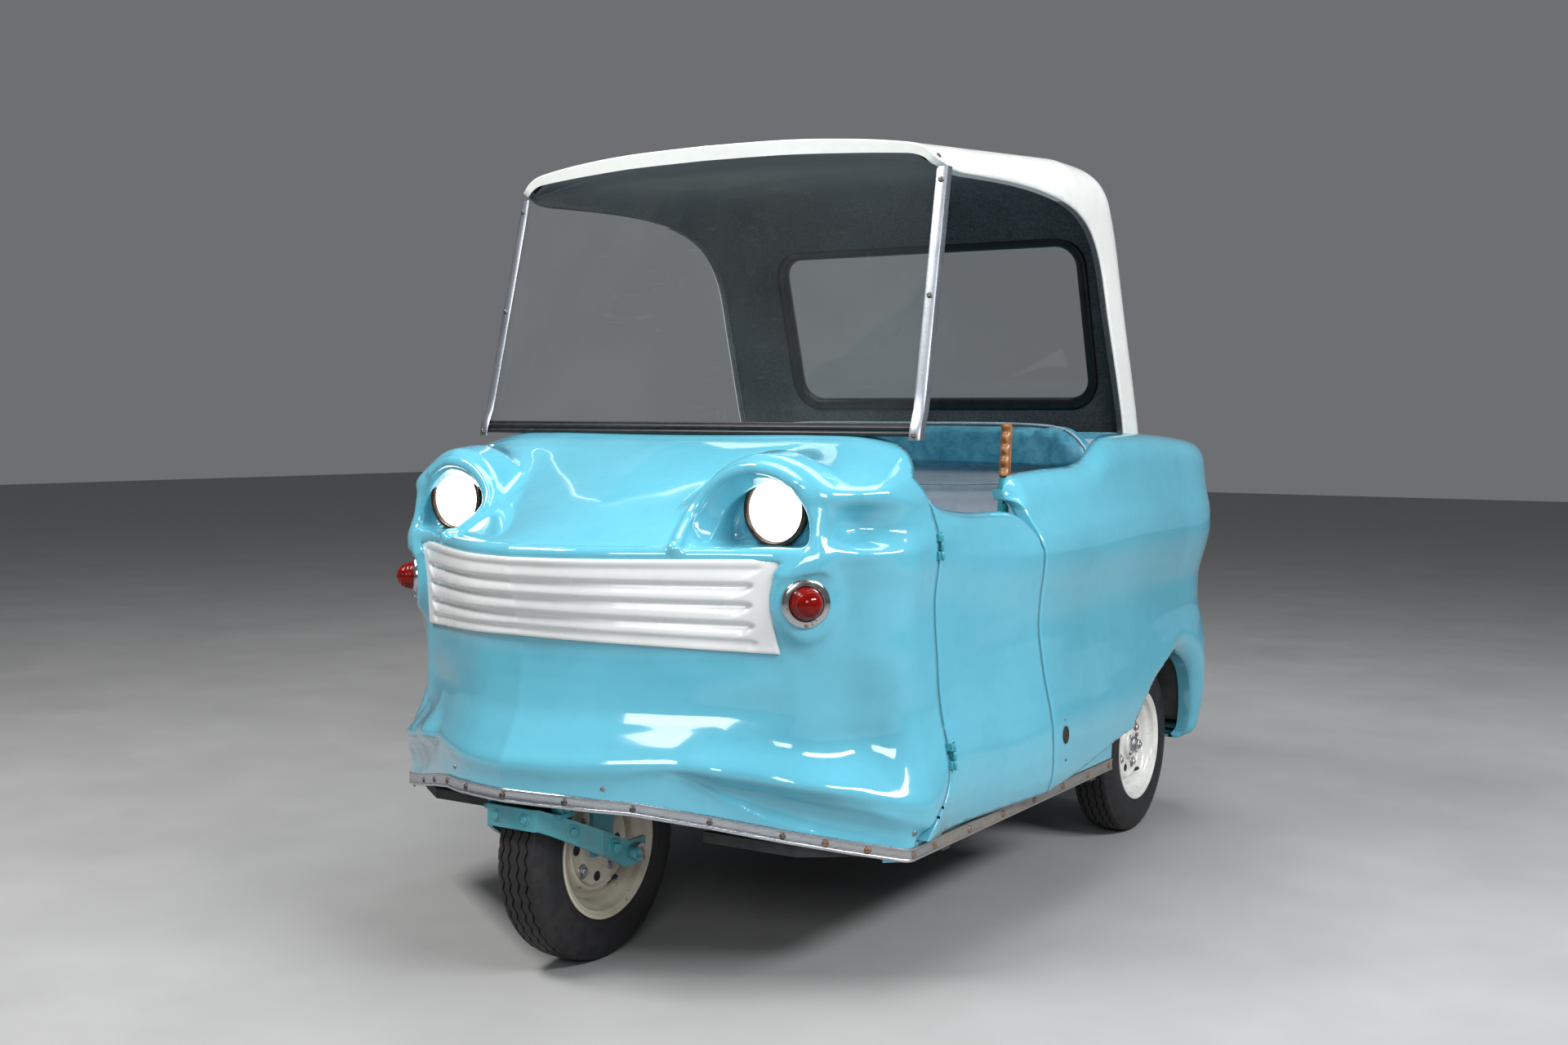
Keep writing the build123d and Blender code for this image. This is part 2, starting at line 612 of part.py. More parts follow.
def roof():
    side = prism_x(ROOF_SIDE + [(-450, 920)], -600, 600)
    outer = crown_solid(0) & side
    t = ROOF_T
    inner_side = [(-560, 800), (-560, 1447), (-450, 1449), (-45, 1496), (200, 1499), (320, 1478), (402, 1415), (455, 1314),
                  (479, 1240), (529, 1079), (580, 919), (620, 800)]
    inner = crown_solid(t) & prism_x(inner_side, -600, 600)
    # front lip: a bowed strip kept in front of the screen's top edge
    lip = Plane.XY.offset(1300) * make_face(
        Curve() + [ThreePointArc((-530, -396), (0, -435), (530, -396)), Line((530, -396), (530, -640)),
                   Line((530, -640), (-530, -640)), Line((-530, -640), (-530, -396))])
    lip = extrude(lip, 300, dir=(0, 0, 1))
    lip -= prism_y([(-560, 1200), (-560, 1388), (0, 1427), (560, 1388), (560, 1200)], -700, -300)
    shell = outer - (inner - lip)
    # front edge bowed in plan
    cut = Plane.XY.offset(800) * make_face(
        Curve() + [ThreePointArc((-520, -398), (0, -445), (520, -398)), Line((520, -398), (520, -600)),
                   Line((520, -600), (-520, -600)), Line((-520, -600), (-520, -398))])
    shell -= extrude(cut, 800, dir=(0, 0, 1))
    for s in (1, -1):
        a_, b_ = sorted((s * 440, s * 560))
        shell -= prism_x([(-460, 800)] + ROOF_OPEN + [(470, 800)], a_, b_)
    # rear window
    win = Pos(0, 500, (WIN_Z0 + WIN_Z1) / 2) * Rot(90, 0, 0) * extrude(
        RectangleRounded(2 * WIN_HALF - 24, WIN_Z1 - WIN_Z0 - 24, WIN_R), 400, both=True)
    shell -= win & box(-600, 600, 300, 900, 800, 1500)
    return shell


rf = roof()
put("roof_shell", whole(rf))


def rear_wall_y(z):
    for (y0, z0), (y1, z1) in zip(ROOF_SIDE[6:], ROOF_SIDE[7:]):
        if z1 <= z <= z0:
            return y0 + (z - z0) / (z1 - z0) * (y1 - y0)
    return 597.0


def window_ring(w, h, r, depth, off):
    """rounded frame in the leaning plane of the rear wall"""
    zc = (WIN_Z0 + WIN_Z1) / 2
    lean = math.degrees(math.atan2(rear_wall_y(990) - rear_wall_y(1240), 250))
    yc = rear_wall_y(zc) - ROOF_T / 2 + off
    return Pos(0, yc, zc) * Rot(lean, 0, 0) * Rot(90, 0, 0) * extrude(RectangleRounded(w, h, r), depth / 2, both=True)


H = (WIN_Z1 - WIN_Z0) / math.cos(math.radians(17))
gasket = window_ring(2 * WIN_HALF + 6, H + 6, WIN_R + 10, 30, 0) - window_ring(2 * WIN_HALF - 44, H - 44, WIN_R - 10, 60, 0)
gasket = gasket - rf
glass_r = window_ring(2 * WIN_HALF - 44.8, H - 44.8, WIN_R - 10.4, 5, 0)
put("rear_window_gasket", whole(gasket))
put("rear_window_glass", whole(glass_r))

# ---------------------------------------------------------------- hinge leaves
fixed = [whole(k) for k in body_leaves]
put("hinge_brackets", Compound(children=fixed + [whole(mirror_x(k)) for k in body_leaves]))

# ---------------------------------------------------------------- tail lamps and plate bracket
tl = []
for s in (1, -1):
    c = cyl_y(36, s * 400, 900, 1014, 640) - loft([face_at(both(tub_half(z, -0.3)), z) for z in (550, 631, 704)], ruled=True)
    tl.append(max(c.solids(), key=lambda q: q.volume))
put("tail_lamps", Compound(children=tl))
PLATE_X, PLATE_Z = 178.0, 121.0
plate = box(-150, 150, 1015.4, 1019.4, 355, 520)
for sx in (1, -1):
    for sz in (1, -1):
        plate -= cyl_y(3.3, sx * PLATE_X / 2, 1000, 1040, 437.5 + sz * PLATE_Z / 2)
stand = box(-60, 60, 960, 1015.4, 430, 445) - loft([face_at(both(tub_half(z, -0.3)), z) for z in (368, 450, 550)], ruled=True)
stand = max(stand.solids(), key=lambda q: q.center().Y)
plate = plate + stand
put("plate_bracket", whole(plate))
print("written", len(os.listdir("parts")))
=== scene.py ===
import math

import bmesh
import bpy
import numpy as np
from mathutils import Matrix, Vector


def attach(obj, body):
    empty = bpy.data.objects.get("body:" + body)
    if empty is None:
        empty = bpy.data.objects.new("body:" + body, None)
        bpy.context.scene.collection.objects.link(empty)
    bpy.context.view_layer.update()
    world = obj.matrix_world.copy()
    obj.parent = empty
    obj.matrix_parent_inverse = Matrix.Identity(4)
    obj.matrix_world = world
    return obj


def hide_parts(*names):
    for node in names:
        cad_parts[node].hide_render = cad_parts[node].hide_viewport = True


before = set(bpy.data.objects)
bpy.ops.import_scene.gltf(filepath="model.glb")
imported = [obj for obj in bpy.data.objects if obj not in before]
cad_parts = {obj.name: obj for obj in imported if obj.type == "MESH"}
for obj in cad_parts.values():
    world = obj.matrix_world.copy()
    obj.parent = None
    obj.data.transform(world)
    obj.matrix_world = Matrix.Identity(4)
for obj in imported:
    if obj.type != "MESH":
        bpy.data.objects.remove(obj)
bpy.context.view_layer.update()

# ----------------------------------------------------------------------------
# camera: three-quarter front view of the car, just below eye height
# ----------------------------------------------------------------------------
YAW, PITCH, ROLL, F_PX = 31.95, 3.39, 0.33, 2074.0
CAM_POS = (1.838, -2.436 - 0.660, 0.938)


def make_camera():
    a, e, r = math.radians(YAW), math.radians(PITCH), math.radians(ROLL)
    back = Vector((math.sin(a) * math.cos(e), -math.cos(a) * math.cos(e), math.sin(e)))
    right = Vector((math.cos(a), math.sin(a), 0))
    up = back.cross(right)
    rx = math.cos(r) * right + math.sin(r) * up
    ux = -math.sin(r) * right + math.cos(r) * up
    cam_data = bpy.data.cameras.new("camera")
    cam = bpy.data.objects.new("camera", cam_data)
    bpy.context.scene.collection.objects.link(cam)
    cam.matrix_world = Matrix(((rx.x, ux.x, back.x, CAM_POS[0]), (rx.y, ux.y, back.y, CAM_POS[1]),
                               (rx.z, ux.z, back.z, CAM_POS[2]), (0, 0, 0, 1)))
    cam_data.sensor_width = 36.0
    cam_data.lens = F_PX / 1920.0 * 36.0
    cam_data.clip_start = 0.05
    cam_data.clip_end = 100
    bpy.context.scene.camera = cam




# ----------------------------------------------------------------------------
# small helpers
# ----------------------------------------------------------------------------
def link(obj):
    bpy.context.scene.collection.objects.link(obj)
    return obj


def mesh_obj(name, verts, faces, smooth=True):
    me = bpy.data.meshes.new(name)
    me.from_pydata([tuple(map(float, v)) for v in verts], [], [tuple(int(i) for i in f) for f in faces])
    me.validate()
    me.update()
    if smooth:
        me.polygons.foreach_set("use_smooth", [True] * len(me.polygons))
    return link(bpy.data.objects.new(name, me))


def grid_faces(rows, cols, closed_rows=False, closed_cols=False, flip=False, keep=None):
    out = []
    for i in range(rows if closed_rows else rows - 1):
        i2 = (i + 1) % rows
        for j in range(cols if closed_cols else cols - 1):
            j2 = (j + 1) % cols
            if keep is not None and not keep(i, j):
                continue
            q = (i * cols + j, i * cols + j2, i2 * cols + j2, i2 * cols + j)
            out.append(q[::-1] if flip else q)
    return out


def grid_obj(name, pts, flip=False, closed_rows=False, closed_cols=False, keep=None):
    """pts: array rows x cols x 3"""
    r, c = pts.shape[:2]
    return mesh_obj(name, pts.reshape(-1, 3), grid_faces(r, c, closed_rows, closed_cols, flip, keep))


def clean_loose(obj):
    bm = bmesh.new()
    bm.from_mesh(obj.data)
    loose = [v for v in bm.verts if not v.link_faces]
    bmesh.ops.delete(bm, geom=loose, context="VERTS")
    bm.to_mesh(obj.data)
    bm.free()


def weld(obj, dist=1e-5):
    bm = bmesh.new()
    bm.from_mesh(obj.data)
    bmesh.ops.remove_doubles(bm, verts=bm.verts, dist=dist)
    bmesh.ops.recalc_face_normals(bm, faces=bm.faces)
    bm.to_mesh(obj.data)
    bm.free()


def add_solidify(obj, t, offset=-1.0, rim=True):
    m = obj.modifiers.new("solid", "SOLIDIFY")
    m.thickness = t
    m.offset = offset
    m.use_even_offset = True
    m.use_rim = rim
    m.use_quality_normals = True
    return m


def add_bevel(obj, w, seg=2, angle=35):
    m = obj.modifiers.new("bevel", "BEVEL")
    m.width = w
    m.segments = seg
    m.limit_method = "ANGLE"
    m.angle_limit = math.radians(angle)
    m.harden_normals = False
    return m


def add_subsurf(obj, n=1):
    m = obj.modifiers.new("sub", "SUBSURF")
    m.levels = n
    m.render_levels = n
    return m


def smooth_by_angle(obj, deg=35):
    bm = bmesh.new()
    bm.from_mesh(obj.data)
    lim = math.radians(deg)
    for e in bm.edges:
        if len(e.link_faces) == 2:
            e.smooth = e.calc_face_angle(0.0) < lim
    for f in bm.faces:
        f.smooth = True
    bm.to_mesh(obj.data)
    bm.free()


def join(objs, name):
    """joins mesh objects into one new mesh object, materials kept"""
    bm = bmesh.new()
    mats = []
    for o in objs:
        me = o.data
        base = {}
        for i, m in enumerate(me.materials):
            if m not in mats:
                mats.append(m)
            base[i] = mats.index(m)
        tmp = bmesh.new()
        tmp.from_mesh(me)
        tmp.transform(o.matrix_world)
        for f in tmp.faces:
            f.material_index = base.get(f.material_index, 0)
        t = bpy.data.meshes.new("t")
        tmp.to_mesh(t)
        tmp.free()
        bm.from_mesh(t)
        bpy.data.meshes.remove(t)
    me = bpy.data.meshes.new(name)
    bm.to_mesh(me)
    bm.free()
    for m in mats:
        me.materials.append(m)
    for o in objs:
        d = o.data
        bpy.data.objects.remove(o)
        if d.users == 0:
            bpy.data.meshes.remove(d)
    return link(bpy.data.objects.new(name, me))


def lathe(name, profile, axis_point, axis="x", segs=96, flip=False):
    """profile: list of (along, radius); turned about an axis through axis_point"""
    prof = np.array(profile, float)
    ang = np.linspace(0, 2 * math.pi, segs, endpoint=False)
    a, r = prof[:, 0][:, None], prof[:, 1][:, None]
    c, s = np.cos(ang)[None, :] * r, np.sin(ang)[None, :] * r
    al = np.repeat(a, segs, 1)
    if axis == "x":
        P = np.stack([al, c, s], -1)
    elif axis == "y":
        P = np.stack([s, al, c], -1)
    else:
        P = np.stack([c, s, al], -1)
    P = P + np.array(axis_point)
    return grid_obj(name, P, closed_cols=True, flip=flip)


def cap_fill(obj):
    bm = bmesh.new()
    bm.from_mesh(obj.data)
    edges = [e for e in bm.edges if len(e.link_faces) == 1]
    bmesh.ops.holes_fill(bm, edges=edges, sides=0)
    bmesh.ops.recalc_face_normals(bm, faces=bm.faces)
    bm.to_mesh(obj.data)
    bm.free()


def orient(obj, direction, origin):
    """turn a shape made along +Z so that it points along direction, and put it at origin"""
    q = Vector(direction).normalized().to_track_quat("Z", "Y")
    obj.data.transform(Matrix.Translation(Vector(origin)) @ q.to_matrix().to_4x4())
    return obj


def pchip(xs, ys, x):
    """monotone cubic through (xs, ys)"""
    xs, ys, x = np.asarray(xs, float), np.asarray(ys, float), np.asarray(x, float)
    h = np.diff(xs)
    d = np.diff(ys) / h
    m = np.zeros(len(xs))
    for i in range(1, len(xs) - 1):
        if d[i - 1] * d[i] > 0:
            w1, w2 = 2 * h[i] + h[i - 1], h[i] + 2 * h[i - 1]
            m[i] = (w1 + w2) / (w1 / d[i - 1] + w2 / d[i])
    m[0], m[-1] = d[0], d[-1]
    k = np.clip(np.searchsorted(xs, x) - 1, 0, len(xs) - 2)
    t = np.clip((x - xs[k]) / h[k], 0, 1)
    t2, t3 = t * t, t * t * t
    return ((2 * t3 - 3 * t2 + 1) * ys[k] + (t3 - 2 * t2 + t) * h[k] * m[k] + (-2 * t3 + 3 * t2) * ys[k + 1]
            + (t3 - t2) * h[k] * m[k + 1])


def catmull(xs, Y, x):
    """smooth interpolation of rows Y (n x ...) at knots xs, finite differences, not monotone"""
    xs, x = np.asarray(xs, float), np.asarray(x, float)
    n = len(xs)
    h = np.diff(xs)
    d = (Y[1:] - Y[:-1]) / h.reshape(-1, *([1] * (Y.ndim - 1)))
    m = np.zeros_like(Y)
    m[0], m[-1] = d[0], d[-1]
    for i in range(1, n - 1):
        m[i] = (h[i] * d[i - 1] + h[i - 1] * d[i]) / (h[i] + h[i - 1])
    k = np.clip(np.searchsorted(xs, x, side="right") - 1, 0, n - 2)
    t = np.clip((x - xs[k]) / h[k], 0, 1).reshape(-1, *([1] * (Y.ndim - 1)))
    hk = h[k].reshape(-1, *([1] * (Y.ndim - 1)))
    t2, t3 = t * t, t * t * t
    return ((2 * t3 - 3 * t2 + 1) * Y[k] + (t3 - 2 * t2 + t) * hk * m[k] + (-2 * t3 + 3 * t2) * Y[k + 1]
            + (t3 - t2) * hk * m[k + 1])


def sstep(a, b, x):
    t = np.clip((x - a) / (b - a), 0, 1)
    return t * t * (3 - 2 * t)


def smin(a, b, k):
    h = np.clip(0.5 + 0.5 * (b - a) / k, 0, 1)
    return b + (a - b) * h - k * h * (1 - h)


def smax(a, b, k):
    return -smin(-a, -b, k)


# ----------------------------------------------------------------------------
# the body's shell as one wrapped surface: s runs from the nose centre (0) along
# the left side to the tail centre, z is the height; t is the distance outwards
# from an inner rail along a level direction
# ----------------------------------------------------------------------------
XR, YF, YB = 0.40, -0.60, 0.85          # inner rail: half width, front and back
S_NOSE = 0.40
S_CF = S_NOSE + 0.28                    # front corner fan ends
S_SIDE = S_CF + (YB - YF)
S_CB = S_SIDE + 0.25
S_END = S_CB + 0.40


def rail(s):
    """origin (x, y) and direction (x, y) for s >= 0"""
    s = np.asarray(s, float)
    o = np.zeros(s.shape + (2,))
    d = np.zeros(s.shape + (2,))
    a = s <= S_NOSE
    o[a, 0], o[a, 1] = s[a], YF
    d[a, 1] = -1
    b = (s > S_NOSE) & (s <= S_CF)
    th = (s[b] - S_NOSE) / (S_CF - S_NOSE) * math.pi / 2
    o[b] = (XR, YF)
    d[b, 0], d[b, 1] = np.sin(th), -np.cos(th)
    c = (s > S_CF) & (s <= S_SIDE)
    o[c, 0], o[c, 1] = XR, YF + (s[c] - S_CF)
    d[c, 0] = 1
    e = (s > S_SIDE) & (s <= S_CB)
    th = (s[e] - S_SIDE) / (S_CB - S_SIDE) * math.pi / 2
    o[e] = (XR, YB)
    d[e, 0], d[e, 1] = np.cos(th), np.sin(th)
    f = s > S_CB
    o[f, 0], o[f, 1] = XR - (s[f] - S_CB), YB
    d[f, 1] = 1
    return o, d


def s_of_y(y):
    return S_CF + (y - YF)


def s_corner(deg):
    return S_NOSE + (S_CF - S_NOSE) * deg / 90.0


def s_tail(deg):
    return S_SIDE + (S_CB - S_SIDE) * deg / 90.0


def xy(s, t):
    """plan position for signed s (negative is the right side)"""
    o, d = rail(np.abs(s))
    p = o + d * t[..., None]
    p[..., 0] *= np.where(s < 0, -1, 1)
    return p


# stations: s, then (z, t) down the station, lowest first; above the ledge the wall runs on up
# and is cut off by the bonnet's own height map
STATIONS = [
    (0.0, [(.18, .412), (.31, .413), (.36, .414), (.385, .412), (.43, .398), (.47, .383), (.52, .369), (.556, .366),
           (.60, .372), (.66, .388), (.705, .397), (.722, .398), (.76, .394), (.84, .39), (.925, .39)]),
    (0.10, [(.18, .384), (.31, .385), (.36, .386), (.385, .384), (.43, .372), (.47, .358), (.52, .345), (.556, .342),
            (.60, .348), (.66, .363), (.705, .372), (.722, .373), (.76, .370), (.84, .366), (.925, .366)]),
    (0.20, [(.18, .326), (.31, .327), (.36, .328), (.385, .327), (.43, .317), (.47, .304), (.52, .291), (.556, .288),
            (.60, .294), (.66, .308), (.705, .316), (.722, .317), (.76, .315), (.84, .312), (.925, .312)]),
    (0.30, [(.18, .253), (.31, .254), (.36, .256), (.385, .254), (.43, .244), (.47, .233), (.52, .226), (.556, .223),
            (.60, .228), (.66, .238), (.705, .245), (.722, .246), (.76, .242), (.84, .238), (.925, .238)]),
    (S_NOSE, [(.18, .178), (.31, .184), (.34, .184), (.36, .182), (.385, .178), (.43, .169), (.47, .164), (.52, .163),
              (.556, .164), (.60, .167), (.66, .171), (.705, .175), (.722, .174), (.745, .145), (.766, .130),
              (.79, .138), (.838, .172), (.87, .160), (.90, .125), (.925, .085)]),
    (s_corner(35), [(.18, .138), (.25, .148), (.28, .153), (.30, .152), (.34, .140), (.385, .120), (.43, .111),
                    (.47, .112), (.52, .119), (.556, .124), (.60, .126), (.66, .130), (.705, .137), (.722, .138),
                    (.745, .114), (.766, .098), (.79, .112), (.815, .148), (.838, .168), (.855, .163), (.87, .153),
                    (.885, .136), (.90, .114), (.925, .076)]),
    (s_corner(60), [(.18, .145), (.25, .160), (.28, .165), (.32, .157), (.36, .138), (.40, .122), (.43, .115),
                    (.47, .116), (.52, .124), (.556, .129), (.60, .130), (.66, .134), (.705, .142), (.722, .143),
                    (.745, .126), (.766, .113), (.79, .120), (.815, .142), (.838, .155), (.855, .150), (.87, .140),
                    (.885, .126), (.90, .108), (.925, .076)]),
    (s_corner(80), [(.18, .165), (.25, .180), (.28, .184), (.31, .181), (.34, .171), (.385, .153), (.43, .142),
                    (.47, .139), (.52, .140), (.556, .140), (.60, .139), (.66, .142), (.705, .148), (.722, .148),
                    (.745, .140), (.766, .131), (.79, .132), (.815, .138), (.838, .138), (.855, .132), (.87, .124),
                    (.885, .114), (.90, .102), (.925, .078)]),
    (s_of_y(-.53), [(.18, .145), (.246, .168), (.28, .177), (.313, .180), (.368, .175), (.41, .165), (.45, .155),
                    (.50, .149), (.548, .146), (.60, .142), (.631, .141), (.66, .143), (.70, .148), (.73, .149),
                    (.756, .147), (.78, .142), (.80, .138), (.84, .126), (.86, .117), (.88, .107), (.90, .094),
                    (.914, .083), (.925, .070)]),
    (s_of_y(-.345), [(.18, .150), (.246, .178), (.28, .188), (.313, .192), (.356, .190), (.40, .181), (.45, .169),
                     (.50, .162), (.55, .158), (.60, .158), (.64, .161), (.68, .164), (.70, .164), (.73, .158),
                     (.753, .150), (.772, .141), (.80, .128), (.85, .105), (.925, .07)]),
    (s_of_y(-.16), [(.18, .165), (.223, .185), (.25, .196), (.279, .204), (.315, .206), (.356, .205), (.40, .199),
                    (.432, .192), (.47, .184), (.508, .178), (.545, .173), (.569, .172), (.60, .174), (.631, .177),
                    (.66, .181), (.693, .183), (.72, .175), (.753, .154), (.772, .142), (.80, .130), (.835, .120),
                    (.87, .108), (.925, .085)]),
    (s_of_y(.10), [(.18, .170), (.223, .186), (.25, .195), (.29, .202), (.33, .202), (.37, .199), (.42, .190),
                   (.47, .180), (.52, .173), (.569, .170), (.61, .173), (.65, .180), (.69, .184), (.73, .178),
                   (.77, .164), (.81, .154), (.86, .146), (.925, .130)]),
    (s_of_y(.40), [(.18, .172), (.25, .186), (.30, .190), (.35, .189), (.40, .184), (.47, .174), (.53, .167),
                   (.575, .165), (.62, .170), (.66, .178), (.70, .183), (.74, .178), (.78, .168), (.82, .161),
                   (.87, .156), (.925, .148)]),
    (s_of_y(.65), [(.18, .170), (.25, .178), (.32, .180), (.38, .180), (.43, .176), (.48, .168), (.53, .160),
                   (.58, .158), (.62, .164), (.66, .173), (.70, .178), (.74, .174), (.78, .166), (.82, .160),
                   (.87, .156), (.925, .150)]),
    (s_of_y(.84), [(.18, .150), (.22, .160), (.29, .166), (.36, .168), (.42, .166), (.47, .158), (.53, .146),
                   (.58, .146), (.62, .154), (.66, .165), (.70, .172), (.74, .170), (.78, .162), (.82, .156),
                   (.87, .152), (.925, .146)]),
    (s_tail(35), [(.18, .118), (.22, .128), (.29, .136), (.36, .138), (.42, .135), (.47, .128), (.53, .120),
                  (.58, .122), (.62, .130), (.66, .141), (.70, .148), (.74, .147), (.78, .141), (.82, .135),
                  (.87, .130), (.925, .124)]),
    (s_tail(65), [(.18, .120), (.22, .128), (.29, .136), (.36, .138), (.42, .134), (.47, .128), (.53, .122),
                  (.58, .124), (.62, .131), (.66, .140), (.70, .146), (.74, .145), (.78, .139), (.82, .134),
                  (.87, .129), (.925, .123)]),
    (S_CB + 0.02, [(.18, .130), (.22, .137), (.29, .144), (.36, .146), (.42, .142), (.47, .136), (.53, .131),
                   (.58, .133), (.62, .140), (.66, .149), (.70, .154), (.74, .153), (.78, .147), (.82, .142),
                   (.87, .137), (.925, .130)]),
    (S_CB + 0.22, [(.18, .138), (.22, .144), (.29, .150), (.36, .151), (.42, .147), (.47, .141), (.53, .137),
                   (.58, .140), (.62, .148), (.66, .157), (.70, .163), (.74, .161), (.78, .154), (.82, .149),
                   (.87, .144), (.925, .138)]),
    (S_END, [(.18, .140), (.22, .146), (.29, .152), (.36, .153), (.42, .149), (.47, .143), (.53, .139), (.58, .142),
             (.62, .150), (.66, .160), (.70, .166), (.74, .164), (.78, .157), (.82, .152), (.87, .147),
             (.925, .141)]),
]
S_KNOTS = np.array([st[0] for st in STATIONS])


def body_t(s, z):
    """s: n signed, z: m heights (or n x m) -> t, n x m"""
    a = np.abs(np.asarray(s, float))
    z = np.asarray(z, float)
    if z.ndim == 1:
        cols = np.array([pchip([p[0] for p in prof], [p[1] for p in prof], z) for _, prof in STATIONS])
        return catmull(S_KNOTS, cols, a)
    out = np.zeros(z.shape)
    for i in range(len(a)):
        k = int(np.clip(np.searchsorted(S_KNOTS, a[i], side="right") - 1, 0, len(S_KNOTS) - 2))
        ks = [max(k - 1, 0), k, k + 1, min(k + 2, len(S_KNOTS) - 1)]
        ks = sorted(set(ks))
        cols = np.array([pchip([p[0] for p in STATIONS[j][1]], [p[1] for p in STATIONS[j][1]], z[i]) for j in ks])
        out[i] = catmull(S_KNOTS[ks], cols, np.array([a[i]]))[0]
    return out


def skirt_z(x):
    """lower edge of the nose and of its trim strip"""
    return np.interp(np.abs(x), [0, .1, .2, .3, .4, .48, .564, 1.0], [.315, .311, .300, .277, .251, .232, .214, .212])


# dense table of the wall, for lookups at any point
TAB_S = np.linspace(0, S_END, 700)
TAB_Z = np.linspace(.18, .925, 480)
TAB_T = body_t(TAB_S, TAB_Z)
_g = (sstep(.30, .38, TAB_S) * sstep(s_corner(88), s_corner(55), TAB_S))[:, None]
_c = sstep(s_corner(12), .34, TAB_S)[:, None]
_b = (sstep(.25, .335, TAB_S) * sstep(s_corner(66), s_corner(22), TAB_S))[:, None]
TAB_T = (TAB_T + _g * (.0050 * np.exp(-((TAB_Z - .300) / .030) ** 2) - .0080 * np.exp(-((TAB_Z - .402) / .034) ** 2))[None, :]
         + _c * (.0075 * np.exp(-((TAB_Z - .380) / .020) ** 2) - .0080 * np.exp(-((TAB_Z - .458) / .040) ** 2))[None, :]
         + _b * .0240 * np.exp(-((TAB_Z[None, :] - np.interp(TAB_S, [.25, .30, .40, .50, .70],
                                                            [.384, .376, .358, .342, .326])[:, None]) / .033) ** 2))


def wall(s, z):
    """t of the wall at arrays of s >= 0 and z"""
    u = np.clip(s, 0, S_END) / S_END * (len(TAB_S) - 1)
    v = (np.clip(z, .18, .925) - .18) / (.925 - .18) * (len(TAB_Z) - 1)
    i = np.minimum(u.astype(int), len(TAB_S) - 2)
    j = np.minimum(v.astype(int), len(TAB_Z) - 2)
    a, b = u - i, v - j
    return (TAB_T[i, j] * (1 - a) * (1 - b) + TAB_T[i + 1, j] * a * (1 - b) + TAB_T[i, j + 1] * (1 - a) * b
            + TAB_T[i + 1, j + 1] * a * b)


def plan(x, y):
    """(s, t) of plan points in front of the tail corner"""
    x = np.abs(x)
    dx, dy = x - XR, YF - y
    th = np.arctan2(np.maximum(dx, 0), np.maximum(dy, 1e-9))
    front = dx <= 0
    side = ~front & (dy <= 0)
    s = np.where(front, x, np.where(side, S_CF - dy, S_NOSE + th / (math.pi / 2) * (S_CF - S_NOSE)))
    t = np.where(front, dy, np.where(side, dx, np.hypot(np.maximum(dx, 0), np.maximum(dy, 0))))
    return s, t


TOP_X = [0, .1, .2, .3, .4, .5, .6]
TOP_Y = [-1.05, -.965, -.90, -.85, -.80, -.75, -.70, -.65, -.60, -.56, -.52, -.48]
TOP_Z = np.array([
    [.700, .735, .762, .783, .805, .827, .850, .872, .893, .907, .919, .928],
    [.690, .727, .754, .776, .799, .823, .847, .870, .892, .907, .919, .928],
    [.640, .700, .732, .757, .784, .811, .839, .866, .891, .906, .919, .927],
    [.600, .655, .692, .722, .752, .788, .824, .859, .889, .905, .917, .925],
    [.580, .640, .680, .712, .760, .822, .853, .871, .887, .899, .910, .917],
    [.560, .620, .660, .700, .755, .800, .824, .843, .859, .871, .882, .890],
    [.550, .600, .650, .690, .735, .768, .788, .804, .818, .830, .842, .850],
])
_gx, _gy = np.linspace(0, .62, 125), np.linspace(-1.05, -.48, 230)
_rows = np.array([pchip(TOP_Y, r, _gy) for r in TOP_Z])
_xs = np.concatenate([[-.1], TOP_X])
TOP_TAB = catmull(_xs, np.concatenate([_rows[1:2], _rows]), _gx)


def top_z(x, y):
    u = np.clip(np.abs(x), 0, .62) / .62 * 124
    v = (np.clip(y, -1.05, -.48) + 1.05) / .57 * 229
    i, j = np.minimum(u.astype(int), 123), np.minimum(v.astype(int), 228)
    a, b = u - i, v - j
    return (TOP_TAB[i, j] * (1 - a) * (1 - b) + TOP_TAB[i + 1, j] * a * (1 - b) + TOP_TAB[i, j + 1] * (1 - a) * b
            + TOP_TAB[i + 1, j + 1] * a * b)


# the skirt under the bulge: it stands level up to SK_Z and a hollow underside then swings out to the
# bulge's lower edge at ED_Z, both against s
SK_S = [0, .14, .20, .2257, .266, .293, .333, .372, .40, s_corner(22), s_corner(49), s_corner(73), s_corner(90),
        s_of_y(-.53), 3.0]
SK_Z = [.20, .32, .358, .363, .352, .334, .306, .279, .262, .248, .238, .232, .234, .236, .236]
ED_Z = [.21, .34, .370, .375, .372, .363, .350, .340, .334, .320, .303, .280, .264, .250, .246]
SK_ON = [0, 0, .4, .6, .9, 1, 1, 1, 1, 1, 1, 1, 1, 1, 1]


def skirt_t(s):
    """t of the level skirt, straight in plan from the nose's corner to the side"""
    th = np.clip((s - S_NOSE) / (S_CF - S_NOSE), 0, 1) * math.pi / 2
    straight = .178 / (np.cos(th) + .78 * np.sin(th))
    side = .1600 / np.maximum(np.sin(th), .3)
    corner = smin(straight, side, .012)
    front = pchip([0, .1, .2, .3, .4, .5], [.413, .3855, .327, .2535, .178, .1], np.clip(s, 0, .5))
    return np.where(s < S_NOSE, front, corner)


